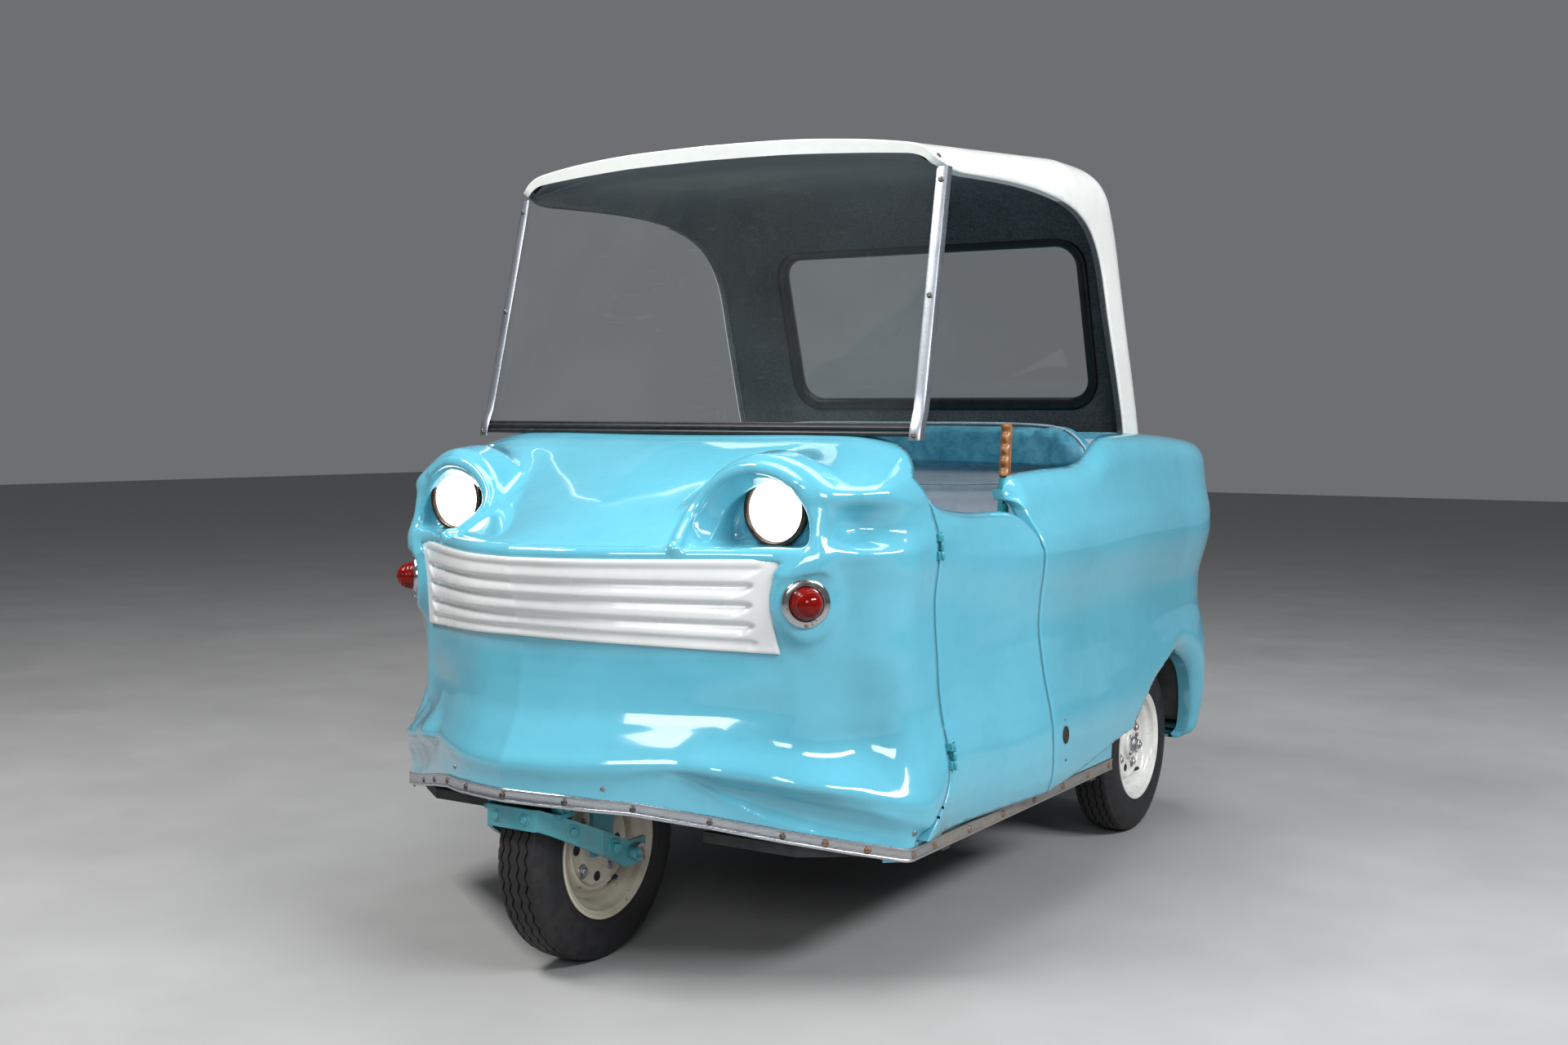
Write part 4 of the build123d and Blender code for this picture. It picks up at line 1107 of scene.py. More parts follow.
def build_roof():
    h = .0062
    n = 82
    V, F = implicit_mesh(roof_f, h, (-n * h, -.50, .88), (n * h, .64, 1.54), roof_cuts(0.0))
    o = fast_mesh("roof_skin", V, F)
    bm = bmesh.new()
    bm.from_mesh(o.data)
    rim = [v for v in bm.verts if v.is_boundary]
    bmesh.ops.remove_doubles(bm, verts=rim, dist=.0016)
    bm.normal_update()
    edges = [e for e in bm.edges if len(e.link_faces) == 1]
    for k, dd in enumerate((.003, .012)):
        nrm = {}
        for e in edges:
            for v in e.verts:
                n_ = Vector((0, 0, 0))
                for f in v.link_faces:
                    n_ += f.normal if k == 0 else Vector((0, 0, 0))
                nrm.setdefault(v.index, n_)
        r = None
        fn = lambda P: gradient(roof_f, P)
        r = bmesh.ops.extrude_edge_only(bm, edges=edges)
        nv = [g for g in r["geom"] if isinstance(g, bmesh.types.BMVert)]
        edges = [g for g in r["geom"] if isinstance(g, bmesh.types.BMEdge)]
        P = np.array([v.co for v in nv])
        G = fn(P)
        G /= np.maximum(np.linalg.norm(G, axis=1), 1e-6)[:, None]
        for v, g_ in zip(nv, G):
            front = v.co.y < -.385 and v.co.z > 1.375
            v.co -= Vector(g_) * (dd * (2.0 - 1.1 * max(abs(v.co.x) / .48, .0) ** 4 if front and k == 1 else 1))
        for g_ in r["geom"]:
            if isinstance(g_, bmesh.types.BMFace):
                g_.smooth = True
        bm.verts.index_update()
    bmesh.ops.recalc_face_normals(bm, faces=bm.faces)
    bm.to_mesh(o.data)
    bm.free()
    return o


def build_lining():
    fun = lambda p: roof_f(p, .0145)
    h = .011
    n = 46
    cuts = roof_cuts(0.0005)
    cuts[0] = lambda p: p[:, 1] - (roof_front(p[:, 0]) + .012)
    cuts[2] = lambda p: np.where(np.abs(p[:, 0]) > .425, OPEN_OUT(p[:, 1], p[:, 2]) + .0010, .3)
    V, F = implicit_mesh(fun, h, (-n * h, -.50, .88), (n * h, .64, 1.54), cuts)
    F = F[:, ::-1]
    o = fast_mesh("roof_lining", V, F)
    # the flock wraps over the turned edge of the side openings
    bm = bmesh.new()
    bm.from_mesh(o.data)

    def at_open(co):
        return abs(co.x) > .42 and abs(float(OPEN_OUT(np.array(co.y), np.array(co.z))) + .0010) < .0016
    edges = [e for e in bm.edges if len(e.link_faces) == 1 and all(at_open(v.co) for v in e.verts)]
    r = bmesh.ops.extrude_edge_only(bm, edges=edges)
    nv = [g for g in r["geom"] if isinstance(g, bmesh.types.BMVert)]
    P = np.array([v.co for v in nv])
    G = gradient(roof_f, P)
    G /= np.maximum(np.linalg.norm(G, axis=1), 1e-6)[:, None]
    for v, g_ in zip(nv, G):
        v.co += Vector(g_) * .0118
    for g_ in r["geom"]:
        if isinstance(g_, bmesh.types.BMFace):
            g_.smooth = True
    bm.to_mesh(o.data)
    bm.free()
    return o


# ----------------------------------------------------------------------------
# finishes
# ----------------------------------------------------------------------------
def new_mat(name):
    m = bpy.data.materials.new(name)
    m.use_nodes = True
    nt = m.node_tree
    b = nt.nodes["Principled BSDF"]
    tc = nt.nodes.new("ShaderNodeTexCoord")
    return m, nt, b, tc


def put(b, **kw):
    names = {"base": "Base Color", "metal": "Metallic", "rough": "Roughness", "coat": "Coat Weight", "coatr": "Coat Roughness",
             "spec": "Specular IOR Level", "trans": "Transmission Weight", "ior": "IOR", "emit": "Emission Color",
             "power": "Emission Strength", "sheen": "Sheen Weight", "alpha": "Alpha", "sheenr": "Sheen Roughness"}
    for k, v in kw.items():
        s = b.inputs[names[k]]
        s.default_value = (*v, 1) if isinstance(v, tuple) and len(v) == 3 else v


def noise(nt, tc, scale, detail=3, rough=.55, stretch=None, coord="Object", distort=0.0):
    n = nt.nodes.new("ShaderNodeTexNoise")
    n.inputs["Scale"].default_value = scale
    n.inputs["Detail"].default_value = detail
    n.inputs["Roughness"].default_value = rough
    n.inputs["Distortion"].default_value = distort
    if stretch is not None:
        mp = nt.nodes.new("ShaderNodeMapping")
        mp.inputs["Scale"].default_value = stretch
        nt.links.new(tc.outputs[coord], mp.inputs["Vector"])
        nt.links.new(mp.outputs["Vector"], n.inputs["Vector"])
    else:
        nt.links.new(tc.outputs[coord], n.inputs["Vector"])
    return n.outputs["Fac"]


def ramp(nt, fac, stops, interp="LINEAR"):
    r = nt.nodes.new("ShaderNodeValToRGB")
    r.color_ramp.interpolation = interp
    el = r.color_ramp.elements
    while len(el) > 1:
        el.remove(el[-1])
    for i, (p, c) in enumerate(stops):
        e = el[0] if i == 0 else el.new(p)
        e.position = p
        e.color = (*c, 1) if isinstance(c, tuple) else (c, c, c, 1)
    nt.links.new(fac, r.inputs["Fac"])
    return r.outputs["Color"]


def remap(nt, fac, a, b, lo, hi):
    r = nt.nodes.new("ShaderNodeMapRange")
    r.inputs["From Min"].default_value = a
    r.inputs["From Max"].default_value = b
    r.inputs["To Min"].default_value = lo
    r.inputs["To Max"].default_value = hi
    nt.links.new(fac, r.inputs["Value"])
    return r.outputs["Result"]


def blend_col(nt, fac, a, b, mode="MIX"):
    m = nt.nodes.new("ShaderNodeMix")
    m.data_type = "RGBA"
    m.blend_type = mode
    for s, v in ((m.inputs["Factor"], fac), (m.inputs[6], a), (m.inputs[7], b)):
        if isinstance(v, (int, float)):
            s.default_value = v
        elif isinstance(v, tuple):
            s.default_value = (*v, 1)
        else:
            nt.links.new(v, s)
    return m.outputs[2]


def bump(nt, b, h, strength, dist=.001, prev=None):
    n = nt.nodes.new("ShaderNodeBump")
    n.inputs["Strength"].default_value = strength
    n.inputs["Distance"].default_value = dist
    nt.links.new(h, n.inputs["Height"])
    if prev is not None:
        nt.links.new(prev, n.inputs["Normal"])
    nt.links.new(n.outputs["Normal"], b.inputs["Normal"])
    return n.outputs["Normal"]


def axis_of(nt, tc, k, coord="Object"):
    s = nt.nodes.new("ShaderNodeSeparateXYZ")
    nt.links.new(tc.outputs[coord], s.inputs[0])
    return s.outputs[k]


def math_node(nt, op, a, b=None):
    m = nt.nodes.new("ShaderNodeMath")
    m.operation = op
    for i, v in enumerate((a, b)):
        if v is None:
            continue
        if isinstance(v, (int, float)):
            m.inputs[i].default_value = v
        else:
            nt.links.new(v, m.inputs[i])
    return m.outputs[0]


def painted(name, base, dark, light, rough=.16, coat=.7, peel=.05, wave=.10, grime=.30, chips=None):
    """glossy paint over moulded fibreglass: faint mottling, grime low down, slow waves under the gloss"""
    m, nt, b, tc = new_mat(name)
    n1 = noise(nt, tc, 3.1, 5, .6)
    n2 = noise(nt, tc, 38, 4, .6)
    col = ramp(nt, n1, [(.30, dark), (.50, base), (.72, light)])
    sp = ramp(nt, n2, [(.32, .965), (.5, 1.0), (1, 1.0)])
    col = blend_col(nt, 1.0, col, sp, "MULTIPLY")
    # road dirt near the bottom edge, broken up
    z = axis_of(nt, tc, 2)
    low = remap(nt, z, .23, .36, 1, 0)
    g = math_node(nt, "MULTIPLY", low, ramp(nt, noise(nt, tc, 14, 6, .7), [(.38, 0.0), (.66, 1.0)]))
    g = math_node(nt, "MULTIPLY", g, grime)
    col = blend_col(nt, g, col, (.16, .15, .12))
    if chips is not None:
        c = ramp(nt, noise(nt, tc, 70, 5, .62), [(.655, 0.0), (.675, 1.0)])
        col = blend_col(nt, math_node(nt, "MULTIPLY", c, chips[0]), col, chips[1])
        nt.links.new(remap(nt, c, 0, 1, rough, .62), b.inputs["Roughness"])
    else:
        nt.links.new(remap(nt, noise(nt, tc, 9, 4, .6), .3, .7, rough * .8, rough * 1.5), b.inputs["Roughness"])
    nt.links.new(col, b.inputs["Base Color"])
    put(b, coat=coat, coatr=.03, spec=.5)
    w = bump(nt, b, noise(nt, tc, 9.0, 1, .4), wave, .0016)
    bump(nt, b, noise(nt, tc, 420, 2, .5), peel, .0003, w)
    return m


def metal(name, base, rough, brush=None, rust=0.0, rustcol=(.20, .085, .035), spots=26, dull=None):
    m, nt, b, tc = new_mat(name)
    n = noise(nt, tc, 9, 5, .6)
    lo = tuple(c * .78 for c in base)
    hi = tuple(min(1, c * 1.08) for c in base)
    col = ramp(nt, n, [(.3, lo), (.55, base), (.75, hi)])
    if brush is not None:
        st = noise(nt, tc, 90, 4, .6, stretch=brush)
        col = blend_col(nt, 1.0, col, ramp(nt, st, [(.3, .80), (.6, 1.0)]), "MULTIPLY")
        nt.links.new(remap(nt, st, .3, .7, rough * .7, rough * 1.5), b.inputs["Roughness"])
        bump(nt, b, st, .08, .0004)
    else:
        nt.links.new(remap(nt, noise(nt, tc, 60, 4, .6), .3, .7, rough * .6, rough * 1.6), b.inputs["Roughness"])
        bump(nt, b, noise(nt, tc, 130, 3, .5), .05, .0003)
    if rust:
        r = ramp(nt, noise(nt, tc, spots, 6, .68), [(.60 - rust * .25, 0.0), (.66 - rust * .2, 1.0)])
        col = blend_col(nt, r, col, rustcol)
        nt.links.new(remap(nt, r, 0, 1, 1.0, .15), b.inputs["Metallic"])
    else:
        put(b, metal=1.0)
    nt.links.new(col, b.inputs["Base Color"])
    return m


def rubber(name, base=(.018, .018, .019), rough=.62, dust=.25, scale=30):
    m, nt, b, tc = new_mat(name)
    n = noise(nt, tc, scale, 5, .62)
    hi = tuple(c * 1.9 + .004 for c in base)
    col = ramp(nt, n, [(.35, base), (.75, hi)])
    d = ramp(nt, noise(nt, tc, 7, 6, .7), [(.45, 0.0), (.75, 1.0)])
    col = blend_col(nt, math_node(nt, "MULTIPLY", d, dust), col, (.14, .125, .105))
    nt.links.new(col, b.inputs["Base Color"])
    nt.links.new(remap(nt, n, .3, .7, rough * .85, min(1, rough * 1.25)), b.inputs["Roughness"])
    bump(nt, b, noise(nt, tc, 260, 3, .6), .12, .0004)
    put(b, spec=.4)
    return m


MAT = {}
TURQ, TURQ_D, TURQ_L = (.110, .415, .540), (.094, .380, .498), (.122, .445, .575)
MAT["body_blue"] = painted("paint_turquoise", TURQ, TURQ_D, TURQ_L, rough=.09, coat=.7, peel=.02, wave=.05, grime=.06)
MAT["suspension_teal"] = painted("suspension_teal", (.030, .270, .335), (.018, .190, .240), (.045, .330, .395), rough=.33,
                                 coat=.15, peel=.2, wave=.1, grime=.55, chips=(.7, (.10, .060, .035)))
MAT["roof_white"] = painted("roof_white", (.755, .775, .750), (.695, .705, .670), (.795, .815, .795), rough=.20, coat=.5)
MAT["grille_white"] = painted("grille_white", (.690, .705, .705), (.630, .640, .630), (.720, .735, .740), rough=.26, coat=.35,
                              peel=.1)
MAT["chassis_paint"] = painted("chassis_paint", (.035, .042, .046), (.018, .022, .024), (.060, .066, .070), rough=.45, coat=.05,
                               peel=.3, grime=.6, chips=(.8, (.13, .070, .038)))
MAT["motor_grey"] = painted("motor_grey", (.16, .17, .175), (.11, .115, .12), (.21, .22, .225), rough=.40, coat=.1, peel=.35,
                            grime=.5, chips=(.5, (.30, .29, .27)))
MAT["rim_cream"] = painted("rim_cream", (.640, .590, .470), (.540, .485, .370), (.700, .655, .545), rough=.26, coat=.3, peel=.15,
                           grime=.25, chips=(.8, (.17, .085, .04)))
MAT["rim_white"] = painted("rim_white", (.740, .735, .700), (.640, .630, .585), (.790, .785, .755), rough=.27, coat=.3, peel=.15,
                           grime=.25, chips=(.5, (.20, .12, .07)))
MAT["chrome"] = metal("chrome", (.50, .52, .54), .15, rust=.05, spots=60)
MAT["steel"] = metal("steel", (.42, .42, .43), .34, rust=.22)
MAT["rusty_steel"] = metal("rusty_steel", (.32, .28, .25), .50, rust=.55, spots=90)
MAT["screw_metal"] = metal("screw_metal", (.34, .33, .32), .30, rust=.18, spots=150)
MAT["trim_aluminium"] = metal("trim_aluminium", (.56, .60, .66), .30, brush=(30, 30, 1))
MAT["screw_dark"] = metal("screw_dark", (.13, .12, .11), .38, rust=.25, spots=60)
MAT["tyre"] = rubber("tyre", (.008, .008, .009), .58, .07, 40)
MAT["lamp_rim"] = metal("lamp_rim", (.085, .065, .055), .32, rust=.10, spots=90)
MAT["seal_black"] = rubber("seal_black", (.010, .010, .012), .38, .06, 60)
# dark rubber for the valve stems, also used as painted shade in the rim holes and the side holes
MAT["black_rubber_and_hole_shade"] = rubber("black_rubber_and_hole_shade", (.012, .012, .013), .50, .10, 60)
MAT["floor_dark"] = rubber("floor_dark", (.030, .033, .036), .72, .55, 16)
MAT["battery_black"] = rubber("battery_black", (.016, .016, .018), .36, .30, 50)


def make_strip_mat():
    """polished aluminium across the nose, dull and brown-stained along the sides"""
    m, nt, b, tc = new_mat("strip_aluminium")
    y = axis_of(nt, tc, 1)
    side = remap(nt, y, -.80, -.52, 0, 1)
    st = noise(nt, tc, 60, 4, .6, stretch=(1, 1, 26))
    blot = ramp(nt, noise(nt, tc, 20, 6, .66), [(.36, 0.0), (.62, 1.0)])
    bright = ramp(nt, st, [(.3, (.36, .385, .42)), (.65, (.60, .63, .67))])
    aged = blend_col(nt, blot, (.40, .385, .36), (.235, .185, .135))
    col = blend_col(nt, math_node(nt, "MULTIPLY", side, .85), bright, aged)
    nt.links.new(col, b.inputs["Base Color"])
    rr = math_node(nt, "ADD", remap(nt, st, .3, .7, .16, .34), math_node(nt, "MULTIPLY", side, .16))
    nt.links.new(rr, b.inputs["Roughness"])
    nt.links.new(remap(nt, math_node(nt, "MULTIPLY", blot, side), 0, 1, 1.0, .45), b.inputs["Metallic"])
    bump(nt, b, st, .10, .0004)
    return m


MAT["strip"] = make_strip_mat()


def make_acrylic(name, base=(.95, .97, .965), rough=.015, haze=.016, smear=.26, tint=(.80, .84, .83)):
    """clear sheet: mostly see-through, a thin shine, wiping marks and fine scratches as a light veil"""
    m, nt, b, tc = new_mat(name)
    out = nt.nodes["Material Output"]
    tr = nt.nodes.new("ShaderNodeBsdfTransparent")
    tr.inputs["Color"].default_value = (*base, 1)
    gl = nt.nodes.new("ShaderNodeBsdfGlossy")
    gl.inputs["Color"].default_value = (1, 1, 1, 1)
    nt.links.new(remap(nt, noise(nt, tc, 30, 4, .6), .3, .7, rough, rough * 2.5), gl.inputs["Roughness"])
    fr = nt.nodes.new("ShaderNodeLayerWeight")
    fr.inputs["Blend"].default_value = .5
    shine = math_node(nt, "POWER", fr.outputs["Facing"], 5.0)
    shine = math_node(nt, "ADD", math_node(nt, "MULTIPLY", shine, .80), .022)
    mx = nt.nodes.new("ShaderNodeMixShader")
    nt.links.new(shine, mx.inputs["Fac"])
    nt.links.new(tr.outputs[0], mx.inputs[1])
    nt.links.new(gl.outputs[0], mx.inputs[2])
    # veil of dust, wipe marks and scratches
    df = nt.nodes.new("ShaderNodeBsdfDiffuse")
    df.inputs["Color"].default_value = (*tint, 1)
    wipe = ramp(nt, noise(nt, tc, 2.3, 5, .62, distort=1.2), [(.40, 0.0), (.75, smear)])
    scr = ramp(nt, noise(nt, tc, 22, 3, .5, stretch=(1.0, 1.0, 9.0), distort=.3), [(.655, 0.0), (.68, .35)])
    scr2 = ramp(nt, noise(nt, tc, 16, 3, .5, stretch=(8.0, 1.0, 1.2), distort=.4), [(.665, 0.0), (.69, .30)])
    v = math_node(nt, "MAXIMUM", wipe, math_node(nt, "MAXIMUM", scr, scr2))
    v = math_node(nt, "ADD", math_node(nt, "MULTIPLY", v, haze * 2.2), haze * .35)
    mx2 = nt.nodes.new("ShaderNodeMixShader")
    nt.links.new(v, mx2.inputs["Fac"])
    nt.links.new(mx.outputs[0], mx2.inputs[1])
    nt.links.new(df.outputs[0], mx2.inputs[2])
    nt.links.new(mx2.outputs[0], out.inputs["Surface"])
    nt.nodes.remove(b)
    return m


MAT["clear_acrylic"] = make_acrylic("clear_acrylic")


def make_lamp_glass():
    """pressed headlamp glass, alight"""
    m, nt, b, tc = new_mat("lamp_glass_lit")
    n = noise(nt, tc, 70, 3, .5, stretch=(3.2, 1, .7))
    col = ramp(nt, n, [(.35, (.80, .80, .74)), (.60, (.96, .95, .90))])
    nt.links.new(col, b.inputs["Base Color"])
    e = ramp(nt, n, [(.30, (.92, .86, .74)), (.62, (1.0, .97, .90))])
    nt.links.new(e, b.inputs["Emission Color"])
    nt.links.new(remap(nt, n, .3, .7, 1.8, 3.4), b.inputs["Emission Strength"])
    put(b, rough=.08, coat=.5, ior=1.5)
    bump(nt, b, n, .25, .0008)
    return m


def make_lens_red(name="lens_red", a=(.110, .0015, .0006), c=(.205, .004, .0015), power=.002):
    m, nt, b, tc = new_mat(name)
    n = noise(nt, tc, 90, 3, .5)
    nt.links.new(ramp(nt, n, [(.35, a), (.62, c)]), b.inputs["Base Color"])
    nt.links.new(ramp(nt, n, [(.35, (.60, .02, .008)), (.62, (.95, .09, .03))]), b.inputs["Emission Color"])
    nt.links.new(remap(nt, noise(nt, tc, 120, 2, .5), .3, .7, .03, .08), b.inputs["Roughness"])
    put(b, ior=1.34, power=power, coat=.03, coatr=.02)
    bump(nt, b, n, .08, .0004)
    return m


MAT["lamp_glass"] = make_lamp_glass()
MAT["lens_red"] = make_lens_red()


def make_vinyl(name, a, c, d, grain=480, rough=.42):
    """mottled leathercloth: two tones in the print, a pebbled grain"""
    m, nt, b, tc = new_mat(name)
    n1 = noise(nt, tc, 26, 7, .72, distort=.6)
    n2 = noise(nt, tc, 6, 4, .6)
    col = ramp(nt, n1, [(.36, a), (.50, c), (.64, d)])
    col = blend_col(nt, 1.0, col, ramp(nt, n2, [(.3, .82), (.6, 1.0)]), "MULTIPLY")
    nt.links.new(col, b.inputs["Base Color"])
    nt.links.new(remap(nt, n2, .3, .7, rough * .8, rough * 1.3), b.inputs["Roughness"])
    v = nt.nodes.new("ShaderNodeTexVoronoi")
    v.inputs["Scale"].default_value = grain
    nt.links.new(tc.outputs["Object"], v.inputs["Vector"])
    w = bump(nt, b, v.outputs["Distance"], .22, .0005)
    bump(nt, b, noise(nt, tc, 46, 3, .5), .12, .0014, w)
    put(b, spec=.45)
    return m


MAT["vinyl_blue"] = make_vinyl("vinyl_blue", (.040, .225, .345), (.075, .320, .450), (.135, .420, .550))
MAT["piping"] = make_vinyl("piping_pale", (.30, .42, .48), (.42, .54, .60), (.52, .62, .66), 700, .35)
MAT["seat_board"] = make_vinyl("seat_board", (.760, .775, .850), (.810, .825, .890), (.850, .860, .920), 300, .55)


def make_flock():
    """short charcoal flock"""
    m, nt, b, tc = new_mat("lining_flock")
    n1 = noise(nt, tc, 210, 4, .7)
    n2 = noise(nt, tc, 5, 5, .65)
    col = ramp(nt, n1, [(.32, (.062, .068, .076)), (.66, (.165, .180, .194))])
    col = blend_col(nt, 1.0, col, ramp(nt, n2, [(.30, .60), (.66, 1.0)]), "MULTIPLY")
    nt.links.new(col, b.inputs["Base Color"])
    nt.links.new(remap(nt, n1, .3, .7, .80, 1.0), b.inputs["Roughness"])
    put(b, spec=.15, sheen=.35)
    bump(nt, b, n1, .6, .0014)
    return m


MAT["flock"] = make_flock()


def make_wood():
    m, nt, b, tc = new_mat("wood_grip")
    g = noise(nt, tc, 34, 5, .6, stretch=(5.0, 5.0, .55), distort=.7)
    f = noise(nt, tc, 260, 3, .6, stretch=(2.4, 2.4, .22))
    col = ramp(nt, g, [(.30, (.165, .060, .020)), (.50, (.330, .130, .042)), (.68, (.470, .215, .078))])
    col = blend_col(nt, 1.0, col, ramp(nt, f, [(.34, .66), (.56, 1.0)]), "MULTIPLY")
    nt.links.new(col, b.inputs["Base Color"])
    nt.links.new(remap(nt, g, .3, .7, .30, .50), b.inputs["Roughness"])
    put(b, coat=.25)
    bump(nt, b, f, .25, .0005)
    return m


MAT["wood_grip"] = make_wood()


def make_floor():
    m, nt, b, tc = new_mat("studio_floor")
    n = noise(nt, tc, 2.2, 6, .62)
    nt.links.new(ramp(nt, n, [(.3, (.305, .305, .305)), (.7, (.350, .350, .350))]), b.inputs["Base Color"])
    nt.links.new(remap(nt, n, .3, .7, .60, .80), b.inputs["Roughness"])
    put(b, spec=.25)
    return m


# ----------------------------------------------------------------------------
# small building blocks
# ----------------------------------------------------------------------------
def sweep(name, path, section, closed=False, up=None, cap=True):
    """section: (a, b) offsets in the plane across the path; a along side, b along up"""
    P = np.array(path, float)
    n = len(P)
    T = np.empty_like(P)
    for i in range(n):
        a = P[(i - 1) % n] if (closed or i > 0) else P[i]
        b = P[(i + 1) % n] if (closed or i < n - 1) else P[i]
        T[i] = (b - a) / np.linalg.norm(b - a)
    rows = []
    for i in range(n):
        u = np.array(up[i] if isinstance(up, (list, np.ndarray)) and len(np.shape(up)) == 2 else up, float)
        side = np.cross(T[i], u)
        side /= np.linalg.norm(side)
        u2 = np.cross(side, T[i])
        rows.append([P[i] + side * a + u2 * b for a, b in section])
    G = np.array(rows)
    o = grid_obj(name, G, closed_rows=closed, closed_cols=True)
    if cap and not closed:
        cap_fill(o)
    else:
        weld(o, 1e-7)
    return o


def disc_profile(name, prof, origin, direction, segs=32):
    """turned solid: prof (height along direction, radius); ends closed on the axis"""
    pr = np.array(prof, float)
    ang = np.linspace(0, 2 * math.pi, segs, endpoint=False)
    P = np.stack([pr[:, 1][:, None] * np.cos(ang), pr[:, 1][:, None] * np.sin(ang),
                  np.repeat(pr[:, 0][:, None], segs, 1)], -1)
    o = grid_obj(name, P, closed_cols=True)
    weld(o, 1e-6)
    return orient(o, direction, origin)


def screw_head(name, origin, direction, r=.005, slot=True, h=.0022):
    """domed head with a cross cut, its flat side at origin"""
    prof = [(-.001, 0), (-.001, r), (h * .25, r), (h * .7, r * .8), (h * .95, r * .45), (h, 0)]
    o = disc_profile(name, prof, (0, 0, 0), (0, 0, 1), 20)
    if slot:
        bm = bmesh.new()
        bm.from_mesh(o.data)
        for v in bm.verts:
            if v.co.z > h * .6 and (abs(v.co.x) < r * .22 or abs(v.co.y) < r * .22):
                v.co.z -= h * .45
        bm.to_mesh(o.data)
        bm.free()
    return orient(o, direction, origin)


def hex_bolt(name, origin, direction, af=.013, h=.006, washer=True):
    r = af / math.sqrt(3)
    bm = bmesh.new()
    rings = [(0, r), (h * .85, r), (h, r * .86)]
    vs = []
    for z, q in rings:
        vs.append([bm.verts.new((q * math.cos(math.pi / 3 * k), q * math.sin(math.pi / 3 * k), z)) for k in range(6)])
    for a, b in zip(vs, vs[1:]):
        for k in range(6):
            bm.faces.new((a[k], a[(k + 1) % 6], b[(k + 1) % 6], b[k]))
    bm.faces.new(vs[-1])
    bm.faces.new(vs[0][::-1])
    me = bpy.data.meshes.new(name)
    bm.to_mesh(me)
    bm.free()
    o = link(bpy.data.objects.new(name, me))
    if washer:
        w = disc_profile(name + "_w", [(-.0015, 0), (-.0015, af * .95), (.0012, af * .95), (.0016, af * .8), (.0016, 0)],
                         (0, 0, 0), (0, 0, 1), 24)
        o = join([o, w], name)
    return orient(o, direction, origin)


def box_obj(name, lo, hi, bevel=.002, seg=2):
    bm = bmesh.new()
    bmesh.ops.create_cube(bm, size=1)
    lo, hi = Vector(lo), Vector(hi)
    for v in bm.verts:
        v.co = Vector(((lo[k] + hi[k]) / 2 + v.co[k] * (hi[k] - lo[k]) for k in range(3)))
    if bevel:
        bmesh.ops.bevel(bm, geom=list(bm.edges) + list(bm.verts), offset=bevel, segments=seg, profile=.5,
                        affect="EDGES", clamp_overlap=True)
    me = bpy.data.meshes.new(name)
    bm.to_mesh(me)
    bm.free()
    me.polygons.foreach_set("use_smooth", [True] * len(me.polygons))
    o = link(bpy.data.objects.new(name, me))
    smooth_by_angle(o, 40)
    return o


def rounded_outline(w, h, r, n=10):
    """half sizes w, h; corner radius r; points of a closed outline"""
    out = []
    for cx, cy, a0 in ((w - r, h - r, 0), (-(w - r), h - r, 90), (-(w - r), -(h - r), 180), (w - r, -(h - r), 270)):
        for k in range(n + 1):
            a = math.radians(a0 + 90 * k / n)
            out.append((cx + r * math.cos(a), cy + r * math.sin(a)))
    return out


def wall_normal(s, z, tab=None):
    """outward direction of the body's wall at signed s and z"""
    f = nose_wall if tab is None else tab
    e = .003
    def P(ss, zz):
        t = f(np.array([abs(ss)]), np.array([zz]))
        q = xy(np.array([ss]), t)[0]
        return np.array([q[0], q[1], zz])
    ds = P(s + e, z) - P(s - e, z)
    dz = P(s, z + e) - P(s, z - e)
    n = np.cross(dz, ds)
    c = P(s, z)
    n /= np.linalg.norm(n)
    o, d = rail(np.array([abs(s)]))
    out = np.array([d[0][0] * (1 if s >= 0 else -1), d[0][1], 0])
    return c, n if n @ out > 0 else -n


def wall_at(s, z, lift=0.0):
    c, n = wall_normal(s, z)
    return c + n * lift, n


# ----------------------------------------------------------------------------
# white ribbed panel across the nose
# ----------------------------------------------------------------------------
GROOVES = [(.700, .0038), (.672, .0092), (.640, .0098), (.606, .0096), (.577, .0058)]


